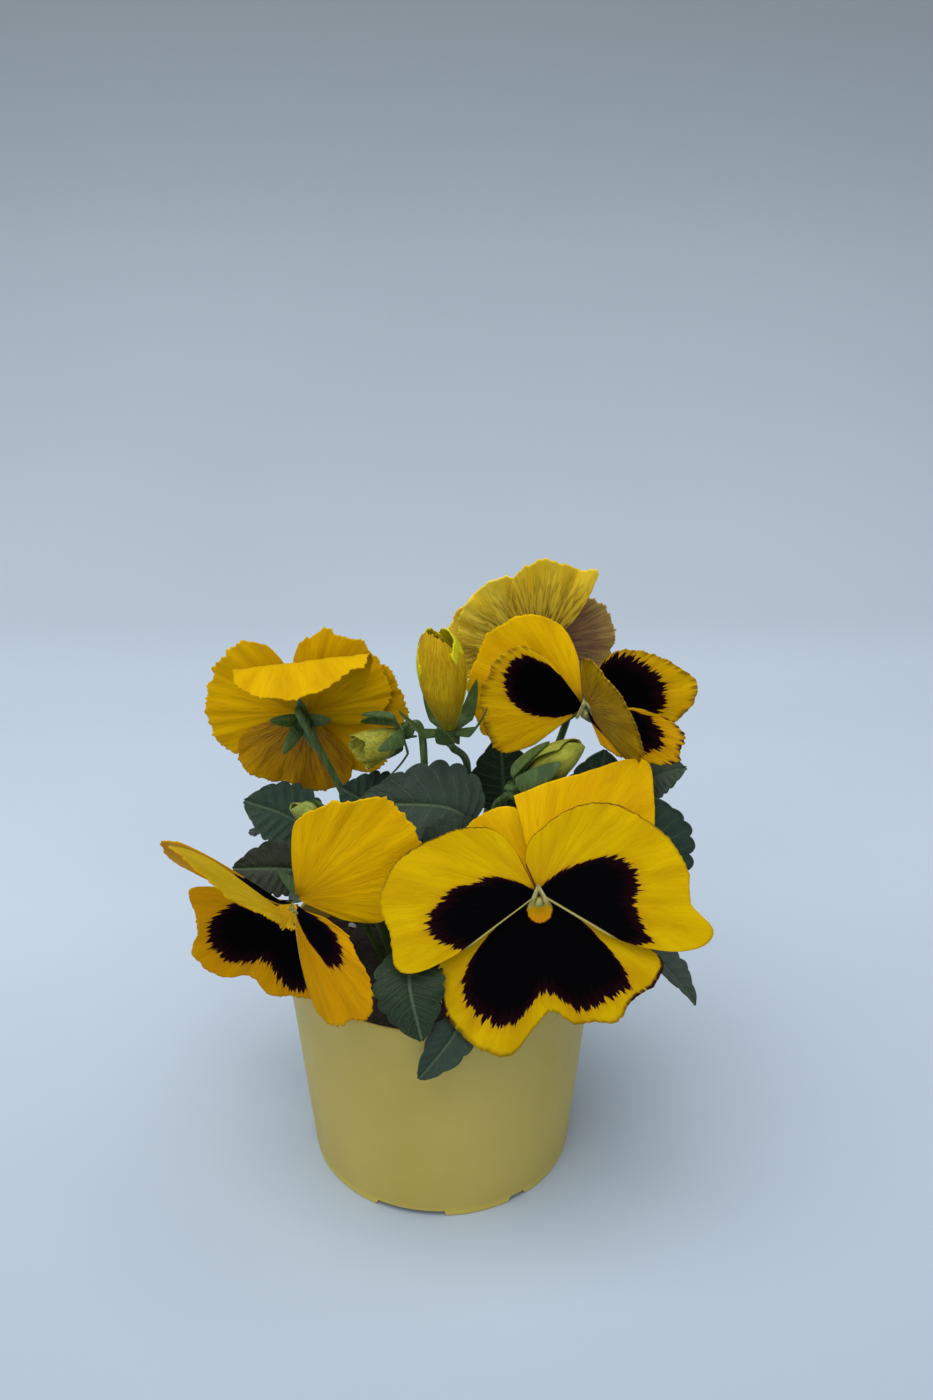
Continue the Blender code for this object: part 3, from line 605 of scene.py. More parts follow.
def paintPetal(look):
    tones = looks[look]
    paint = Paint("petal " + look)
    x, y = paint.map("flat")
    across, out = paint.map("polar")
    reach = (x * x + y * y) ** 0.5
    angle = paint.add("ShaderNodeMath", {"operation": "ARCTAN2"}, [x, y])
    fine = paint.grain(paint.join(angle * 30, reach * 0.5), 1.0, 3.0, 0.6)
    broad = paint.grain(paint.join(angle * 5, reach * 0.45), 1.0, 2.0)
    cloud = paint.grain(paint.join(x, y), 0.6, 3.0)
    tone = paint.mix(broad.step(0.35, 0.65), tones["deep"], tones["pale"])
    tone = paint.mix(cloud.step(0.3, 0.75) * 0.5, tone, tones["pale"])
    # veins fan out from the throat and fork as they go
    bendy = angle + (paint.grain(paint.join(x, y), 1.6) - 0.5) * 0.16
    forks = paint.grain(paint.join(bendy * 16, reach * 0.28), 1.0, 1.0)
    vein = 1 - abs(forks - 0.5).step(0.004, 0.030)
    vein = vein * (0.35 + fine * 0.6) * (1 - reach.step(1.6, 4.2) * 0.75)
    tone = paint.mix(vein * tones["veins"], tone, petalTones["vein"])
    tone = paint.mix((1 - reach.step(0.2, 1.5)) * 0.6, tone, petalTones["claw"])
    if "web" in tones:
        tone = webTone(paint, tone, tones, angle, reach, fine)
    rough = 0.52 - fine * 0.08
    if "blotch" in tones:
        points = blotches[tones["blotch"]]
        low, high = points[0][0], points[-1][0]
        share = (angle * (180 / math.pi) - low) / (high - low)
        # the ramp holds each reach as a share of rampReach, and the shader works in centimetres
        stops = [((a - low) / (high - low), r / rampReach) for a, r in points]
        limit = paint.add("ShaderNodeValToRGB", {"stops": stops}, [share.clamp()]) * (rampReach / 10)
        inside = share.step(-0.02, 0.0) * (1 - share.step(1.0, 1.02))
        teeth = paint.grain(paint.join(angle * 26, reach * 0.35), 1.0, 4.0, 0.68) - 0.5
        gap = limit + teeth * 1.05 - reach
        blot = gap.step(-0.015, 0.025) * inside
        rim = 1 - gap.step(0.0, 0.45)
        tone = paint.mix(gap.step(-0.30, 0.0) * inside * 0.45, tone, petalTones["glow"])
        ink = paint.mix(rim * (0.35 + fine * 0.5), petalTones["blotch"], petalTones["rim"])
        tone = paint.mix(blot, tone, ink)
        rough = rough + blot * 0.12
    if "edge" in tones:
        tone = edgeTone(paint, tone, *tones["edge"], across, out, fine, reach)
    if tones.get("hem"):
        hem = (1 - ((1 - across) * reach * 2.2).step(0.035, 0.055)) * (1 - reach.step(1.9, 2.7)) * 0.9
        tone = paint.mix(hem, tone, petalTones["hem"])
    if tones.get("spot"):
        away = (x * x * 1.1 + (y - 0.40) * (y - 0.40)) ** 0.5
        spot = 1 - (away - 0.33 + (fine - 0.5) * 0.14).step(-0.02, 0.02)
        orange = paint.mix(y.step(0.35, 0.7), *petalTones["spot"])
        tone = paint.mix(spot, tone, orange)
    ridges = paint.grain(paint.join(angle * 60, reach * 0.7), 1.0, 2.0)
    cells = paint.grain(paint.join(x, y), 42.0, 1.0)
    normal = paint.bump(ridges + forks * 1.5, 0.00022, 0.45)
    normal = paint.bump(cells, 0.00003, 0.35, under=normal)
    paint.soften(0.15, (0.0012, 0.0006, 0.0002))
    return paint.finish(Base_Color=tone, Roughness=rough, Normal=normal, Specular_IOR_Level=0.015)


def edgeTone(paint, tone, kind, strength, across, out, fine, reach):
    line = out.step(0.980, 0.992)
    if kind == "upper":
        flank = 1 - (across * reach * 2.2).step(0.02, 0.04)
        line = (line * (1 - across.step(0.45, 0.75)) + flank).clamp() * (0.45 + fine * 0.9)
    if kind == "flanks":
        flank = abs(across - 0.5).step(0.24, 0.34)
        line = out.step(0.962, 0.984) * (flank * 0.9 + 0.35) * fine.step(0.32, 0.46)
    if kind == "ragged":
        line = (out + (fine - 0.5) * 0.16).step(0.93, 0.99) * fine.step(0.38, 0.55)
    return paint.mix(line * strength, tone, petalTones["edge"])


def webTone(paint, tone, tones, angle, reach, fine):  # purple veins and stains of an old petal
    web = paint.grain(paint.join(angle * 11, reach * 0.35), 1.0, 3.0, 0.6)
    vein = 1 - abs(web - 0.5).step(0.008, 0.048)
    haze = (1 - reach.step(0.8, 3.2)) * (0.4 + fine * 0.6) * 0.55
    tone = paint.mix(haze * tones["web"], tone, petalTones["haze"])
    tone = paint.mix(vein * (1 - reach.step(1.8, 4.0)) * tones["web"], tone, petalTones["web"])
    if "stain" in tones:
        start, end = tones["stain"]
        stain = 1 - (reach + (fine - 0.5) * 1.2).step(start + 0.6, end)
        purple = paint.mix(fine.step(0.4, 0.6), *petalTones["stain"])
        tone = paint.mix(stain * 0.6, tone, purple)
    return tone


# throat: the middle of the bloom. face: azimuth, elevation and roll of the way it looks.
# A petal is (outline, size, clock, lift, twist, layer, bends, look, ruffle, ragged), where clock,
# lift and twist turn it about the throat, its width and its length, and layer moves it forward.
# A bend is (distance along the petal, heading, radius, angle).
blooms = {
    "a": {
        "throat": (25, -36, 105), "face": (-4, 27, -5), "sepals": -50,
        "stalk": [(12, -9, 62), (16, -11, 84), (20, -14, 98)],
        "petals": {
            "side_right": ("side_right", 1.0, 52, 0, 0, 0.0, [(24, 0, 30, -14)], "a_side_right",
                           0.5, 0.25),
            "side_left": ("side_left", 1.0, -73, 2, 0, 0.2, [(24, 0, 30, -12)], "a_side_left",
                          0.5, 0.25),
            "lip": ("lip", 1.0, 180, -2, 0, -1.8, [(22, 0, 30, -6)], "a_lip", 0.8, 0.35),
            "upper_right": ("upper_point", 1.0, 42, -14, 0, -3.2, [], "plain", 0.6, 0.1),
            "upper_left": ("side", 0.68, -47, -14, 0, -4.8, [], "plain", 0.5, 0.1),
        },
    },
    "b": {
        "throat": (-38, -31, 99), "face": (-10, 2, 0), "sepals": -40, "style": 0.55,
        "stalk": [(-13, -7, 62), (-18, -9, 84), (-25, -11, 96)],
        "petals": {
            "side_right": ("b_side", 1.06, 128, 22, 4, 0.0, [], "b_side", 0.9, 0.7),
            "side_left": ("eave", 1.0, -46, 16, -34, 1.2, [], "b_side", 0.3, 0.4),
            "lip": ("b_lip", 1.0, 216, 8, 0, -1.8, [], "b_lip", 0.9, 0.3),
            "upper_right": ("b_upper", 0.95, 58, -24, 0, -3.6, [], "plain", 0.8, 0.7),
            "upper_left": ("roof", 0.97, -38, 24, -68, 4.4, [], "b_side", 0.8, 1.1),
        },
    },
    "c": {
        "throat": (40, 8, 137), "face": (4, 14, 0), "sepals": -40,
        "stalk": [(12, 8, 62), (24, 16, 92), (36, 22, 124)],
        "petals": {
            "side_right": ("c_right", 0.97, 77, 4, 0, -0.4, [], "c_right", 0.5, 0.3),
            "side_left": ("side", 0.78, -80, 6, 0, 0.0, [], "c_left", 0.5, 0.5),
            "lip": ("c_low", 1.0, 118, 20, 0, 1.2, [], "c_low", 0.5, 0.6),
            "upper_right": ("upper", 0.68, 66, 72, 0, 2.2, [], "aged", 0.5, 0.5),
            "upper_left": ("upper", 0.82, -66, -14, 0, -3.0, [], "plain", 0.6, 0.4),
        },
    },
    "d": {
        "throat": (28.5, 44, 140.6), "face": (186, 12, 0), "sepals": -40,
        "stalk": [(6, 14, 62), (14, 26, 94), (22, 34, 121)],
        "petals": {
            "side_right": ("fan", 0.7, 74, 0, 0, 0.0, [], "d_yellow_backlit", 0.9, 0.4),
            "side_left": ("fan", 0.65, -81, 0, 0, 0.0, [], "d_purple_backlit", 1.0, 0.5),
            "lip": ("lip_even", 0.7, 170, 0, 0, -1.8, [], "d_yellow_backlit", 0.7, 0.4),
            "upper_right": ("upper", 0.71, 32, 0, 0, -3.0, [], "d_yellow_backlit", 1.0, 0.5),
            "upper_left": ("crest", 0.8, -6, 0, 0, -4.6, [], "d_crest_backlit", 1.0, 0.4),
        },
    },
    "e": {
        "throat": (-38, 24, 129), "face": (180, -6, 0), "sepals": -40,
        "stalk": [(-10, 7, 62), (-20, 10, 92), (-28, 9, 113)],
        "petals": {
            "side_right": ("fan", 0.76, 76, 0, 0, 0.0, [], "e_back", 0.9, 0.7),
            "side_left": ("fan", 0.76, -95, 0, 0, 0.0, [], "e_back", 0.9, 0.7),
            "lip": ("lip_even", 0.66, 165, 0, 0, -1.8, [], "e_lip_shaded", 0.7, 0.5),
            "upper_right": ("upper", 0.86, -2, -16, 0, -3.2, [(15, 10, 4, -105)], "e_back", 0.7, 0.8),
            "upper_left": ("upper", 0.68, -46, 0, 0, -1.8, [], "e_back", 0.7, 0.7),
        },
    },
}

petal = {"claw": 0.9, "thickness": 0.36, "columns": 96, "rows": 48,
         "reach": 38.0, "cup": 1.5, "funnel": 1.6, "funnelWidth": 2.4, "trim": 0.2, "tooth": 2.0,
         "nick": 0.35, "wave": 1.7, "pleat": 0.30}


def bloomMatrix(throat, face):  # bloom space has +Z out of the bloom's face and +Y to its top
    azimuth, elevation, roll = (math.radians(a) for a in face)
    out = Vector((math.sin(azimuth) * math.cos(elevation), -math.cos(azimuth) * math.cos(elevation),
                  math.sin(elevation)))
    return standing(throat, out) @ Matrix.Rotation(-roll, 4, "Z")


def bend(point, at, heading, radius, angle):  # rolls the petal past a crease about a cylinder
    along = Vector((math.sin(math.radians(heading)), math.cos(math.radians(heading)), 0))
    distance = point.dot(along) - at
    if distance <= 0:
        return point
    limit = math.radians(abs(angle))
    side = math.copysign(1.0, angle)
    turn = min(distance / radius, limit)
    rest = distance - radius * turn
    height = point.z
    forward = (radius - side * height) * math.sin(turn) + rest * math.cos(turn)
    lift = side * (radius - (radius - side * height) * math.cos(turn) + rest * math.sin(turn))
    across = point - along * point.dot(along)
    return Vector((across.x, across.y, 0)) + along * (at + forward) + Vector((0, 0, lift))


def makePetal(name, bloom, spec, seed, paints):
    shape, size, clock, lift, twist, layer, bends, look, ruffle, ragged = spec
    outline = outlines[shape]
    first = outline[0][0]
    span = outline[-1][0] - first
    mirror = -1 if "left" in name else 1
    place = bloomMatrix(bloom["throat"], bloom["face"]) @ Matrix.Rotation(math.radians(-clock), 4, "Z")
    place = place @ Matrix.Translation((0, 0, layer)) @ Matrix.Rotation(math.radians(lift), 4, "X")
    place = place @ Matrix.Rotation(math.radians(twist), 4, "Y")

    def polar(across, out):
        angle = first + span * across
        edge = smoothValue(outline, angle) * size
        ends = min(across, 1 - across, 0.12) / 0.12
        teeth = wobble(angle * 0.13, 0.5, seed) + abs(wobble(angle * 0.5, 2.5, seed)) * 1.2 - 0.5
        nicks = petal["nick"] * wobble(angle * 1.3, 4.5, seed)
        edge += ragged * ends * (teeth * petal["tooth"] + nicks) - petal["trim"]
        return math.radians(angle), petal["claw"] + (edge - petal["claw"]) * out

    def spot(across, out):
        angle, reach = polar(across, out)
        share = reach / petal["reach"]
        height = petal["cup"] * share * share
        height -= petal["funnel"] * math.exp(-(reach / petal["funnelWidth"]) ** 2)
        wave = wobble(angle * 2.4, reach * 0.03, seed + 3)
        wave += 0.5 * wobble(angle * 6.5, reach * 0.05, seed + 5)
        pleat = wobble(angle * 15, reach * 0.02, seed + 9)
        height += ruffle * (out ** 2.2 * wave * petal["wave"] + petal["pleat"] * pleat * out)
        point = Vector((reach * math.sin(angle), reach * math.cos(angle), height))
        for crease in bends:
            point = bend(point, *crease)
        return place @ point

    def flat(across, out):
        angle, reach = polar(across, out)
        return mirror * reach * math.sin(angle) / size / 10, reach * math.cos(angle) / size / 10

    def shares(across, out):
        return across if mirror > 0 else 1 - across, out

    bm = bmesh.new()
    shapeGrid(bm, petal["columns"], petal["rows"], spot, {"flat": flat, "polar": shares})
    pair = [paints[look], paints[otherSides.get(look, "back")]]
    piece = makePiece(bm, name + "_petal", pair, name, 80)
    thicken(piece, petal["thickness"], 1)


# a knobbed style above the opening, between two rows of pale hairs
throat = {"knob": 1.3, "knobPlace": (0, -1.9, 0.2), "hairs": 170, "hair": 0.55, "hairVary": 0.3,
          "hairLean": (0.12, 0.2, 0.45), "hairWidths": (0.075, 0.06, 0.03),
          "arm": 5.0, "armTop": 2.4, "armLift": 0.3, "armSteps": 8, "spread": 2.5, "rise": 1.2,
          "width": 0.24, "dark": (0.20, 0.20, 0.035), "light": (0.46, 0.42, 0.16)}


def paintThroat():
    paint = Paint("style and hairs")
    place = paint.place()
    fuzz = paint.grain(place, 2500.0, 2.0)
    cloud = paint.grain(place, 500.0, 2.0)
    tone = paint.mix(cloud.step(0.35, 0.65), throat["dark"], throat["light"])
    return paint.finish(Base_Color=tone, Roughness=0.6 + fuzz * 0.2,
                        Normal=paint.bump(fuzz, 0.0002, 0.7))


def makeThroat(key, bloom, paint):
    place = bloomMatrix(bloom["throat"], bloom["face"]) @ Matrix.Scale(bloom.get("style", 1.0), 4)
    bm = bmesh.new()
    knob = bmesh.ops.create_uvsphere(bm, u_segments=20, v_segments=12, radius=throat["knob"])["verts"]
    for vert in knob:
        vert.co.x *= 0.85 + 0.25 * max(-vert.co.y, 0)
        vert.co.z *= 1.1
    bmesh.ops.translate(bm, verts=knob, vec=throat["knobPlace"])
    shares = [i / throat["armSteps"] for i in range(throat["armSteps"] + 1)]
    widths = [throat["width"] * (1 + 0.6 * math.sin(math.pi * t)) for t in shares]
    lean, drop, stand = throat["hairLean"]
    for side in (-1, 1):
        arm = []
        for t in shares:
            high = throat["armTop"] - throat["arm"] * t
            lift = throat["armLift"] + throat["rise"] * math.sin(t * 2.6)
            arm.append(Vector((side * throat["spread"] * t, high, lift)))
        sweepTube(bm, arm, widths, 8)
        for i in range(throat["hairs"]):
            root = alongPath(arm, (i + 0.5) / throat["hairs"])
            spin = i * 2.4
            long = throat["hair"] + throat["hairVary"] * wobble(i * 0.7, 1.2, 6)
            aside = long * math.cos(spin) - side * lean
            tip = root + Vector((aside, long * math.sin(spin) - drop, stand))
            middle = root.lerp(tip, 0.5) + Vector((0, 0, 0.1))
            sweepTube(bm, [root, middle, tip], throat["hairWidths"], 4)
    bmesh.ops.recalc_face_normals(bm, faces=bm.faces)
    bmesh.ops.transform(bm, matrix=place, verts=bm.verts)
    makePiece(bm, f"bloom_{key}_throat", [paint], None, 60)


def makeBlooms():
    paints = {look: paintPetal(look) for look in looks}
    style = paintThroat()
    seed = 1
    for key, bloom in blooms.items():
        for name, spec in bloom["petals"].items():
            makePetal(f"bloom_{key}_{name}", bloom, spec, seed, paints)
            seed += 11
        makeThroat(key, bloom, style)


makeBlooms()
print("petals made")

# leaves

# a leaf is (its middle line from the foot of its stalk to its tip, width, share of its length that
# is stalk, the way its upper face looks, how far its halves fold up, teeth on a side, its paint)
leaves = {
    "centre": ([(3, -9, 62), (7, -8, 90), (9, -7, 106), (2, -6, 114), (-22, -7, 116)], 24, 0.58,
               (0.0, -0.7, 0.7), 10, 7, "leaf_blue"),
    "centre_front": ([(-4, -9, 62), (-8, -14, 88), (-8, -17, 101), (2, -17, 107), (15, -15, 112)], 17,
                     0.6, (0.0, -0.9, 0.45), 10, 6, "leaf_blue"),
    "right": ([(24, 2, 62), (40, -4, 74), (53, -8, 86), (58, -7, 102), (58, -6, 116)], 26, 0.45,
              (0.3, -0.9, 0.2), 8, 8, "leaf_green"),
    "right_low": ([(30, -6, 62), (42, -12, 74), (54, -16, 77), (63, -20, 70), (71, -22, 60)], 11, 0.5,
                  (0.5, -0.3, 0.8), 20, 6, "leaf_pale"),
    "left": ([(-16, -3, 62), (-24, -8, 84), (-33, -11, 96), (-43, -12, 99), (-56, -12, 99)], 15, 0.58,
             (0.0, -0.85, 0.5), 8, 6, "leaf_brown"),
    "left_back": ([(-16, 6, 62), (-24, 9, 84), (-34, 8, 97), (-44, 9, 104), (-55, 10, 108)], 19, 0.5,
                  (0.0, -0.8, 0.6), 8, 7, "leaf_green"),
    "front": ([(-1, -12, 62), (-4, -22, 80), (-7.5, -34, 88), (-8, -45, 84), (-5, -50.5, 71)], 18, 0.55,
              (0.0, -0.8, 0.6), 6, 6, "leaf_shaded"),
    "front_low": ([(9, -14, 62), (8, -30, 71), (6, -42, 73.5), (2.5, -47.5, 69), (-6, -48.5, 57)], 11,
                  0.55, (0.0, -0.9, 0.4), 10, 4, "leaf_blue"),
    "middle": ([(17, 9, 62), (20, 9, 84), (19, 9, 104), (18, 9, 114), (17, 8, 128)], 20, 0.5,
               (0.0, -0.9, 0.4), 8, 7, "leaf_shaded"),
    "middle_right": ([(26, 8, 62), (34, 6, 84), (40, 6, 102), (44, 6, 111), (46, 7, 124)], 22, 0.5,
                     (0.0, -0.9, 0.4), 8, 7, "leaf_green"),
    "right_top": ([(30, 14, 62), (44, 14, 90), (55, 12, 106), (61, 10, 114), (69, 8, 118)], 13, 0.6,
                  (0.2, -0.6, 0.8), 10, 6, "leaf_green"),
    "middle_left": ([(-6, 9, 62), (-12, 5, 90), (-14, 4, 104), (-19, 3, 110), (-27, 2, 116)], 20, 0.55,
                    (0.1, -0.8, 0.6), 10, 7, "leaf_green"),
    "back": ([(0, 20, 62), (-2, 34, 80), (-4, 41, 89), (-6, 47, 90), (-8, 52, 86)], 28, 0.5,
             (0.0, 0.5, 0.9), 8, 8, "leaf_green"),
    "back_right": ([(20, 22, 62), (30, 32, 78), (38, 37, 86), (46, 42, 86), (54, 46, 78)], 26, 0.5,
                   (0.3, 0.3, 0.9), 8, 8, "leaf_green"),
    "back_left": ([(-18, 18, 62), (-28, 28, 78), (-38, 34, 86), (-48, 38, 86), (-58, 42, 79)], 26, 0.5,
                  (-0.3, 0.3, 0.9), 8, 8, "leaf_blue"),
}

leaf = {"columns": 56, "rows": 90, "thickness": 0.45, "stalk": 1.0,
        "notch": 0.15, "steps": 18, "sides": 12, "veins": 8.5, "slant": 0.17, "groove": 0.45,
        "grooveWidth": 1.1, "wave": 0.9, "quilt": 0.56, "neck": 1.1, "tip": 0.15}

leafTones = {"veins": (0.080, 0.118, 0.062), "underVeins": (0.10, 0.14, 0.075),
             "margin": (0.06, 0.05, 0.03), "fibre": (0.16, 0.24, 0.07),
             "under": ((0.060, 0.085, 0.055), (0.085, 0.115, 0.075)),
             "petiole": ((0.050, 0.085, 0.022), (0.085, 0.135, 0.035))}

leafPaints = {
    "leaf_green": ((0.020, 0.042, 0.026), (0.034, 0.064, 0.038)),
    "leaf_blue": ((0.020, 0.036, 0.022), (0.034, 0.056, 0.035)),
    # this darker green is partly the leaves' own dark green and partly painted shade, for leaves that
    # lie in shadow
    "leaf_shaded": ((0.009, 0.021, 0.006), (0.018, 0.035, 0.012)),
    "leaf_brown": ((0.022, 0.027, 0.016), (0.036, 0.042, 0.026)),
    "leaf_pale": ((0.042, 0.058, 0.042), (0.064, 0.086, 0.066)),
}


def paintLeaf(name, dark, light, under=False):
    paint = Paint(name)
    side, run = paint.map("blade")
    x, y = paint.map("flat")
    cloud = paint.grain(paint.join(x, y), 0.9, 3.0)
    tone = paint.mix(cloud.step(0.3, 0.7), dark, light)
    # side veins leave the midrib and curve towards the tip
    warp = (paint.grain(paint.join(x, y), 1.4) - 0.5) * 0.5
    lines = (run - abs(side) * leaf["slant"]) * leaf["veins"] + warp
    vein = abs(lines.calc("FRACT") - 0.5)
    vein = 1 - vein.step(0.015, 0.075)
    vein = vein * (1 - abs(side).step(0.55, 1.0))
    rib = 1 - abs(x).step(0.012, 0.045)
    web = paint.add("ShaderNodeTexVoronoi", {"feature": "DISTANCE_TO_EDGE"},
                    {"Vector": paint.join(x, y), "Scale": 9.0})
    net = 1 - web.step(0.0, 0.09)
    pale = leafTones["underVeins" if under else "veins"]
    tone = paint.mix(net * 0.10, tone, pale)
    tone = paint.mix(vein * 0.40, tone, pale)
    tone = paint.mix(rib * 0.75, tone, pale)
    margin = abs(side).step(0.955, 1.0)
    tone = paint.mix(margin * 0.35, tone, leafTones["margin"])
    pores = paint.grain(paint.join(x, y), 30.0, 2.0)
    hollow = paint.grain(paint.join(x, y), 3.2, 2.0)
    sign = -1.0 if under else 1.0
    height = (hollow * 0.5 - net * 0.25 - vein * 0.6 - rib * 0.9) * sign
    normal = paint.bump(height, 0.00030, 0.8)
    normal = paint.bump(pores, 0.00004, 0.5, under=normal)
    paint.soften(0.08, (0.0004, 0.0008, 0.0003))
    return paint.finish(Base_Color=tone, Roughness=0.50 + pores * 0.15, Normal=normal,
                        Specular_IOR_Level=0.2)


def paintStalk(name, dark, light):
    paint = Paint(name)
    place = paint.place()
    x, y, z = paint.split(place)
    cloud = paint.grain(place, 60.0, 3.0)
    fibre = paint.grain(paint.join(x * 900, y * 900, z * 60), 1.0, 2.0)
    tone = paint.mix(cloud.step(0.3, 0.7), dark, light)
    tone = paint.mix(fibre.step(0.45, 0.7) * 0.35, tone, leafTones["fibre"])
    normal = paint.bump(fibre, 0.00010, 0.6)
    paint.soften(0.1, (0.0005, 0.001, 0.0003))
    return paint.finish(Base_Color=tone, Roughness=0.45 + fibre * 0.15, Normal=normal,
                        Specular_IOR_Level=0.4)


def leafHalfWidth(blade, width, teeth, ragged):
    full = math.sin(math.pi * blade ** 0.8) ** 0.7 if 0 < blade < 1 else 0.0
    tooth = abs(math.sin(math.pi * teeth * (blade + 0.06 * ragged))) ** 0.6 - 0.7
    body = full * width / 2 * (1 + leaf["notch"] * tooth * min(blade * 5, 1))
    return max(body, leaf["neck"] * (1 - blade) + leaf["tip"])


def solidify(bm, thickness):  # gives open faces a back of material 1
    fronts = list(bm.faces)
    made = bmesh.ops.solidify(bm, geom=fronts, thickness=thickness)["geom"]
    for face in made:
        if isinstance(face, bmesh.types.BMFace):
            face.material_index = 1
    bmesh.ops.recalc_face_normals(bm, faces=bm.faces)


def makeLeaf(name, spec, seed, paints):
    points, width, stalk, look, fold, teeth, paint = spec
    path = smoothPath(points, 40)
    last = len(path) - 1
    rise = math.sin(math.radians(fold))

    def frameAt(share):
        low = min(int(share * last), last - 1)
        after = min(low + 1, last - 1)
        part = share * last - low
        ahead = (path[low + 1] - path[low]).lerp(path[after + 1] - path[after], part).normalized()
        side = ahead.cross(Vector(look)).normalized()
        return alongPath(path, share), side, side.cross(ahead)

    def spot(across, out):
        centre, side, up = frameAt(stalk + (1 - stalk) * out)
        ragged = wobble(out * 3, 0.3 if across < 0.5 else 4.3, seed)
        half = leafHalfWidth(out, width, teeth, ragged)
        where = 2 * across - 1
        where = math.copysign(abs(where) ** 0.85, where)
        reach = where * half
        height = abs(reach) * rise - leaf["groove"] * math.exp(-(reach / leaf["grooveWidth"]) ** 2)
        wave = wobble(where * 1.1, out * 3.2, seed) + 0.6 * wobble(where * 2.6, out * 8, seed + 2)
        height += where ** 2 * wave * leaf["wave"] * math.sin(math.pi * out) ** 0.5
        quilt = math.sin((out - abs(where) * leaf["slant"]) * leaf["veins"] * math.tau)
        height += leaf["quilt"] * quilt * abs(where) * (1 - abs(where))
        return centre + side * reach + up * height

    def blade(across, out):
        return 2 * across - 1, out

    def flat(across, out):
        length = sum((b - a).length for a, b in zip(path, path[1:])) * (1 - stalk)
        half = leafHalfWidth(out, width, teeth, 0)
        return (2 * across - 1) * half / 10, out * length / 10

    bm = bmesh.new()
    shapeGrid(bm, leaf["columns"], leaf["rows"], spot, {"blade": blade, "flat": flat})
    bmesh.ops.recalc_face_normals(bm, faces=bm.faces)
    solidify(bm, leaf["thickness"])
    steps = leaf["steps"]
    tube = [alongPath(path, (stalk + 0.02) * i / steps) for i in range(steps + 1)]
    start = len(bm.faces)
    radii = [leaf["stalk"] * (1.05 - 0.35 * i / steps) for i in range(steps + 1)]
    sweepTube(bm, tube, radii, leaf["sides"])
    for face in list(bm.faces)[start:]:
        face.material_index = 2
    materials = [paints[key] for key in (paint, "leaf_under", "petiole")]
    makePiece(bm, name + "_blade", materials, name, 80)


def makeLeaves():
    paints = {name: paintLeaf(name, *tones) for name, tones in leafPaints.items()}
    paints["leaf_under"] = paintLeaf("leaf_under", *leafTones["under"], under=True)
    paints["petiole"] = paintStalk("petiole", *leafTones["petiole"])
    for seed, (key, spec) in enumerate(leaves.items()):
        makeLeaf("leaf_" + key, spec, seed + 40, paints)


makeLeaves()
print("leaves made")

# stalks, sepals and stems

calyx = {"depth": 8.0, "sepal": (10.0, 3.8), "radius": 1.05, "sides": 14, "grid": (8, 16),
         "earGrid": (6, 8), "thickness": 0.5, "knob": 1.9, "neck": 7.0, "neckRise": 4.0,
         "budNeck": 5.0, "ring": 1.2, "budRing": 0.85, "steps": 48}

stem = {"radius": 2.0, "taper": 0.5, "steps": 24, "sides": 16}

stalkTones = {"stalk": ((0.036, 0.070, 0.012), (0.060, 0.105, 0.022)),
              "stem": ((0.055, 0.085, 0.025), (0.085, 0.125, 0.040))}

stems = {
    "front": [(-2, -4, 62), (-2, -5, 74), (-1, -5, 88)],
    "left": [(-9, 1, 62), (-12, 1, 74), (-16, 1, 88)],
    "right": [(13, 3, 62), (15, 4, 76), (18, 4, 90)],
    "back": [(-2, 12, 62), (-2, 14, 76), (-1, 17, 92)],
}

# base: where the calyx sits. tip: the end of the bloom. radius: its widest. sepals: the angle
# they rise at. hug: how far they curl in
buds = {
    "f": {"base": (3, 4, 132), "tip": (-1, 0, 163), "radius": 7.0,
          "sepals": 50, "hug": 0.1, "sepal": (12.0, 4.8),
          "stalk": [(0, 6, 62), (6, 10, 90), (8, 9, 118)]},
    "g": {"base": (-10, 6, 131), "tip": (-23, 2, 127), "radius": 6.0,
          "sepals": 50, "hug": 0.2, "sepal": (10.0, 4.2),
          "stalk": [(-4, 5, 62), (-4, 7, 92), (-4, 4, 122)]},
    "h": {"base": (21.5, -8, 121), "tip": (38, -8, 134), "radius": 5.6,
          "sepals": 74, "hug": 0.2, "sepal": (14.5, 6.6),
          "stalk": [(8, -2, 62), (13, -2, 92), (15, -3, 111)]},
    "i": {"base": (-31, -5, 109), "tip": (-40, -6, 115), "radius": 3.2,
          "sepals": 62, "hug": 0.2, "sepal": (7.0, 3.2),
          "stalk": [(-8, -2, 62), (-18, -3, 84), (-25, -4, 100)]},
}


def addSepals(bm, head, lift, inner, length, width, hug=0.0):
    tilt = math.radians(lift)
    for k in range(5):
        turn = head @ Matrix.Rotation(k * math.tau / 5, 4, "Z")

        def spot(across, out):
            where = 2 * across - 1
            half = width / 2 * (min(out * 4 + 0.45, 1.0) * (1 - out ** 2.2) ** 0.8 + 0.03)
            reach = length * out
            lean = tilt + hug * out
            height = reach * math.sin(lean) - 0.5 * (1 - where * where) * half * 0.5
            away = inner * min(out * 8, 1) + reach * math.cos(lean)
            return turn @ Vector((where * half, away, height))

        def ear(across, out):  # a sepal's ear reaches back along the stalk
            where = 2 * across - 1
            half = width * 0.36 * (1 - out ** 3) + 0.05
            return turn @ Vector((where * half, 0.9 + 1.6 * out ** 0.6, -3.2 * out - 0.2))

        for shape, columns, rows in ((spot, *calyx["grid"]), (ear, *calyx["earGrid"])):
            made = shapeGrid(bm, columns, rows, shape, {})
            bmesh.ops.solidify(bm, geom=list(facesOf(made)), thickness=calyx["thickness"])
    knob = bmesh.ops.create_uvsphere(bm, u_segments=16, v_segments=10, radius=calyx["knob"])["verts"]
    bmesh.ops.transform(bm, matrix=head @ Matrix.Diagonal((1, 1, 0.8, 1)), verts=knob)


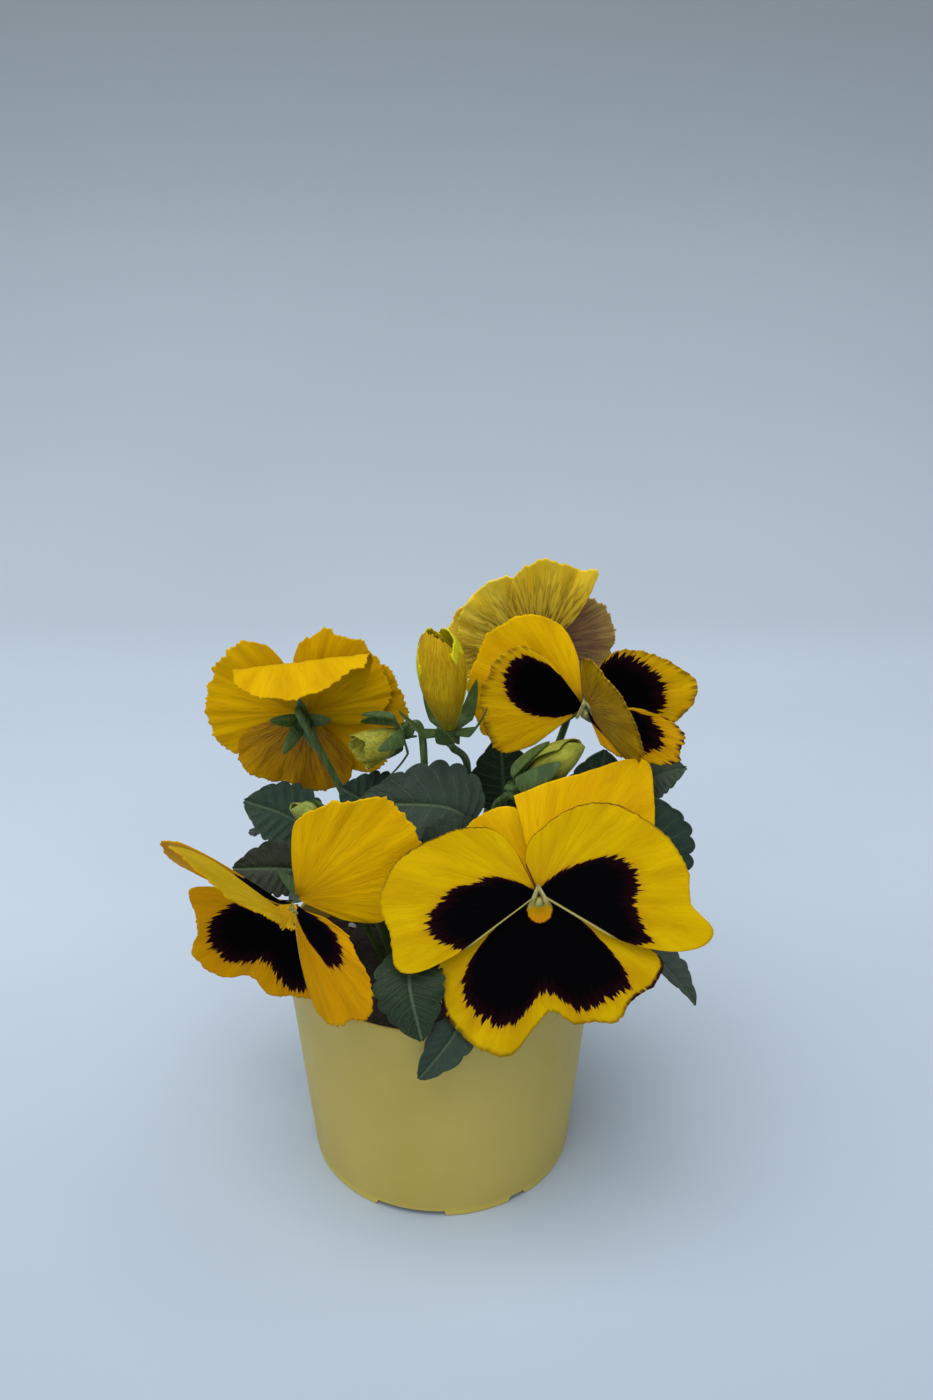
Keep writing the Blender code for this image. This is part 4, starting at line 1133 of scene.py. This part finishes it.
def makeStalk(key, points, head, lift, inner, paints, hug, size):
    path = smoothPath(points, calyx["steps"])
    bm = bmesh.new()
    radii = [calyx["radius"] * (1.0 + 0.10 * wobble(i * 0.3, 1.5, ord(key))) for i in range(len(path))]
    sweepTube(bm, path, radii, calyx["sides"])
    addSepals(bm, head, lift, inner, *size, hug)
    bmesh.ops.recalc_face_normals(bm, faces=bm.faces)
    makePiece(bm, f"stalk_{key}_calyx", [paints["stalk"]], f"stalk_{key}", 50)


def makeStalks():
    paints = {"stalk": paintStalk("flower stalk", *stalkTones["stalk"]),
              "stem": paintStalk("stem", *stalkTones["stem"])}
    for key, bloom in blooms.items():
        place = bloomMatrix(bloom["throat"], bloom["face"])
        head = place @ Matrix.Translation((0, 0, -calyx["depth"]))
        neck = place @ Vector((0, calyx["neckRise"], -calyx["depth"] - calyx["neck"]))
        points = bloom["stalk"] + [neck, head @ Vector((0, 0.5, 0))]
        makeStalk(key, points, head, bloom["sepals"], calyx["ring"], paints, 0.0, calyx["sepal"])
    for key, bud in buds.items():
        base = Vector(bud["base"])
        place = standing(base, Vector(bud["tip"]) - base)
        points = bud["stalk"] + [place @ Vector((0, 0, -calyx["budNeck"])), base]
        inner = bud["radius"] * calyx["budRing"]
        makeStalk(key, points, place, bud["sepals"], inner, paints, bud["hug"], bud["sepal"])
    for key, points in stems.items():
        bm = bmesh.new()
        path = smoothPath(points, stem["steps"])
        slope = stem["taper"] / stem["steps"]
        radii = [stem["radius"] - slope * i + 0.12 * wobble(i * 0.4, 2, 3) for i in range(len(path))]
        sweepTube(bm, path, radii, stem["sides"])
        makePiece(bm, f"stem_{key}_tube", [paints["stem"]], f"stem_{key}", 50)


makeStalks()
print("stalks made")

# furled bloom and buds

furl = {"columns": 60, "rows": 36, "thickness": 0.3, "stand": 1.0, "twist": 38, "drop": 0.26,
        "tatter": 0.05, "sway": 0.10, "flare": 0.7, "inside": 0.80, "wind": 0.26, "dents": 0.08,
        "green": (0.16, 0.20, 0.030)}

# sheets of a bud, as (start, turns about the bud, how far up it goes, size, look, ragged)
furls = {
    "f": [(0, 330, 0.90, 0.66, "furl_deep", 0.8), (130, 225, 1.0, 0.95, "furl_deep", 1.1),
          (40, 190, 0.96, 0.82, "furl_pale", 1.0), (285, 200, 0.94, 1.06, "furl_pale", 1.2)],
    "g": [(0, 300, 0.92, 0.80, "wilt", 1.3), (150, 240, 0.88, 1.02, "wilt", 1.5),
          (60, 200, 1.0, 0.62, "wilt", 1.4)],
    "h": [(20, 300, 1.0, 0.80, "bud_yellow", 0.15), (200, 250, 0.97, 0.92, "bud_yellow", 0.2)],
    "i": [(0, 320, 1.0, 0.85, "bud_green", 0.2), (180, 240, 0.95, 1.0, "bud_green", 0.2)],
}

# how wide a bud is, as (share of its length, share of its radius)
closed = [(0.0, 0.25), (0.2, 0.7), (0.45, 1.0), (0.7, 0.84), (0.9, 0.50), (1.0, 0.22)]
furlShapes = {
    "f": [(0.0, 0.25), (0.2, 0.62), (0.45, 0.94), (0.7, 0.98), (0.88, 0.74), (1.0, 0.36)],
    "g": [(0.0, 0.30), (0.3, 0.78), (0.6, 0.92), (0.85, 0.95), (1.0, 1.05)],
    "h": closed,
    "i": closed,
}

furlPaints = {
    "furl_deep": ((0.44, 0.25, 0.002), (0.56, 0.36, 0.004), (0.30, 0.16, 0.004)),
    "furl_pale": ((0.62, 0.53, 0.006), (0.74, 0.66, 0.014), (0.40, 0.38, 0.012)),
    "wilt": ((0.26, 0.25, 0.020), (0.46, 0.43, 0.060), (0.13, 0.13, 0.020)),
    "bud_yellow": ((0.24, 0.24, 0.020), (0.36, 0.35, 0.045), (0.10, 0.13, 0.022)),
    "bud_green": ((0.22, 0.26, 0.050), (0.36, 0.40, 0.090), (0.12, 0.17, 0.030)),
}


def paintFurl(name, dark, light, line):
    paint = Paint(name)
    across, out = paint.map("polar")
    streak = paint.grain(paint.join(across * 26, out * 2.2), 1.0, 3.0, 0.6)
    cloud = paint.grain(paint.join(across * 3, out * 3), 1.0, 2.0)
    tone = paint.mix(cloud.step(0.3, 0.7), dark, light)
    vein = 1 - abs(streak - 0.5).step(0.006, 0.05)
    tone = paint.mix(vein * 0.55, tone, line)
    tone = paint.mix((1 - out.step(0.0, 0.45)) * 0.55, tone, furl["green"])
    normal = paint.bump(streak + vein * 0.5, 0.00025, 0.6)
    paint.soften(0.15, (0.001, 0.0007, 0.0002))
    return paint.finish(Base_Color=tone, Roughness=0.5, Normal=normal, Specular_IOR_Level=0.08)


def makeBud(key, bud, paints):
    base = Vector(bud["base"])
    tip = Vector(bud["tip"])
    place = standing(base, tip - base)
    length = (tip - base).length
    shape = furlShapes[key]
    bm = bmesh.new()
    slots = []
    for i, (start, turns, high, size, look, ragged) in enumerate(furls[key]):

        def spot(across, out):
            edge = high * (1 - furl["drop"] * abs(2 * across - 1) ** 2.5)
            teeth = wobble(across * 5, 1.1, i + 2) + abs(wobble(across * 16, 3.1, i))
            edge += ragged * furl["tatter"] * teeth
            share = out * edge
            turn = math.radians(start + turns * across + furl["twist"] * out)
            sway = wobble(out * 9, across * 0.6, i + 12) + 0.5 * wobble(out * 22, across, i + 14)
            turn += furl["sway"] * ragged * sway
            wide = smoothValue(shape, share) * bud["radius"] * size
            dent = furl["dents"] * wobble(across * 3, out * 2, i + 5)
            wide *= furl["inside"] + furl["wind"] * across + dent
            wide += ragged * furl["flare"] * out ** 4 * (wobble(across * 9, 0.7, i + 8) + 0.4)
            height = furl["stand"] + (length - furl["stand"]) * share
            return place @ Vector((wide * math.cos(turn), wide * math.sin(turn), height))

        made = shapeGrid(bm, furl["columns"], furl["rows"], spot, {"polar": sameShares})
        if look not in slots:
            slots.append(look)
        for face in facesOf(made):
            face.material_index = slots.index(look)
    materials = [paints[look] for look in slots]
    piece = makePiece(bm, f"bud_{key}_petals", materials, f"bud_{key}", 80)
    thicken(piece, furl["thickness"])


def makeBuds():
    paints = {name: paintFurl(name, *tones) for name, tones in furlPaints.items()}
    for key, bud in buds.items():
        makeBud(key, bud, paints)


makeBuds()
print("buds made")

# soil

# crumbs lie along a sunflower spiral: each turns on by spiral and takes the next share of the bed
soil = {"level": 60.0, "mound": 2.0, "inset": 1.6, "rings": 40, "sides": 160,
        "crumbs": 1100, "chips": 46, "beads": 26, "spiral": 2.39996,
        "share": 0.618034, "spread": 0.985, "smallest": 0.55, "vary": 0.75, "beadExtra": 0.35,
        "dents": 0.35, "chipShape": (2.4, 1.0, 0.5), "crumbShape": (1.2, 1.0, 0.8)}

# the dark, the light and the flecks of each kind of grain
soilTones = {
    "peat": ((0.010, 0.007, 0.005), (0.030, 0.021, 0.014), (0.09, 0.065, 0.045)),
    "bark": ((0.035, 0.020, 0.011), (0.075, 0.045, 0.026), (0.12, 0.085, 0.055)),
    "perlite": ((0.30, 0.29, 0.26), (0.42, 0.41, 0.38), (0.30, 0.28, 0.25)),
}


def paintSoil(name, dark, light, fleck):
    paint = Paint(name)
    place = paint.place()
    cloud = paint.grain(place, 90.0, 4.0, 0.65)
    grit = paint.grain(place, 700.0, 3.0, 0.7)
    tone = paint.mix(cloud.step(0.35, 0.65), dark, light)
    tone = paint.mix(grit.step(0.58, 0.66) * 0.6, tone, fleck)
    normal = paint.bump(cloud, 0.0012, 0.9)
    normal = paint.bump(grit, 0.00025, 0.9, under=normal)
    return paint.finish(Base_Color=tone, Roughness=0.82 + grit * 0.15, Normal=normal,
                        Specular_IOR_Level=0.25)


def soilHeight(x, y):
    reach = math.hypot(x, y) / potRadius(soil["level"])
    rough = wobble(x * 0.12, y * 0.12, 2) * 1.1 + wobble(x * 0.4, y * 0.4, 5) * 0.6
    return soil["level"] + soil["mound"] * (0.7 - reach * reach) + rough


def makeSoil():
    edge = potRadius(soil["level"]) - soil["inset"]
    low = pot["footHeight"] + pot["floor"] + 0.3
    bm = bmesh.new()
    profile = [(0.0, low), (potRadius(low) - soil["inset"] - 0.3, low), (edge - 0.2, soil["level"] - 3)]
    profile += [(edge * (1 - i / soil["rings"]), soil["level"]) for i in range(soil["rings"] + 1)]
    spinProfile(bm, profile, soil["sides"])
    for vert in bm.verts:
        if vert.co.z > soil["level"] - 1:
            vert.co.z = soilHeight(vert.co.x, vert.co.y)
    materials = [paintSoil(name, *tones) for name, tones in soilTones.items()]
    makePiece(bm, "soil_bed", materials[:1], "potting_soil", 80)
    bm = bmesh.new()
    for i in range(soil["crumbs"] + soil["chips"] + soil["beads"]):
        spin = i * soil["spiral"]
        reach = edge * math.sqrt((i * soil["share"]) % 1.0) * soil["spread"]
        x = reach * math.cos(spin)
        y = reach * math.sin(spin)
        chip = i >= soil["crumbs"]
        bead = i >= soil["crumbs"] + soil["chips"]
        size = soil["smallest"] + soil["vary"] * abs(wobble(i * 0.37, 1.3, 4))
        size += soil["beadExtra"] if bead else 0
        stretch = soil["chipShape" if chip and not bead else "crumbShape"]
        turn = Matrix.Rotation(i * 1.7, 4, "Z") @ Matrix.Rotation(0.5 * wobble(i, 2, 2), 4, "X")
        place = Matrix.Translation((x, y, soilHeight(x, y) + size * 0.2)) @ turn
        place = place @ Matrix.Diagonal((*(size * part for part in stretch), 1))
        verts = bmesh.ops.create_icosphere(bm, subdivisions=2 if bead else 1, radius=1.0)["verts"]
        for vert in verts:
            vert.co *= 1 + soil["dents"] * wobble(vert.co.x * 2 + i, vert.co.y * 2, vert.co.z)
        bmesh.ops.transform(bm, matrix=place, verts=verts)
        for face in facesOf(verts):
            face.material_index = 2 if bead else 1 if chip else 0
    makePiece(bm, "soil_crumbs", materials, "potting_soil", 40)


makeSoil()
print("soil made")
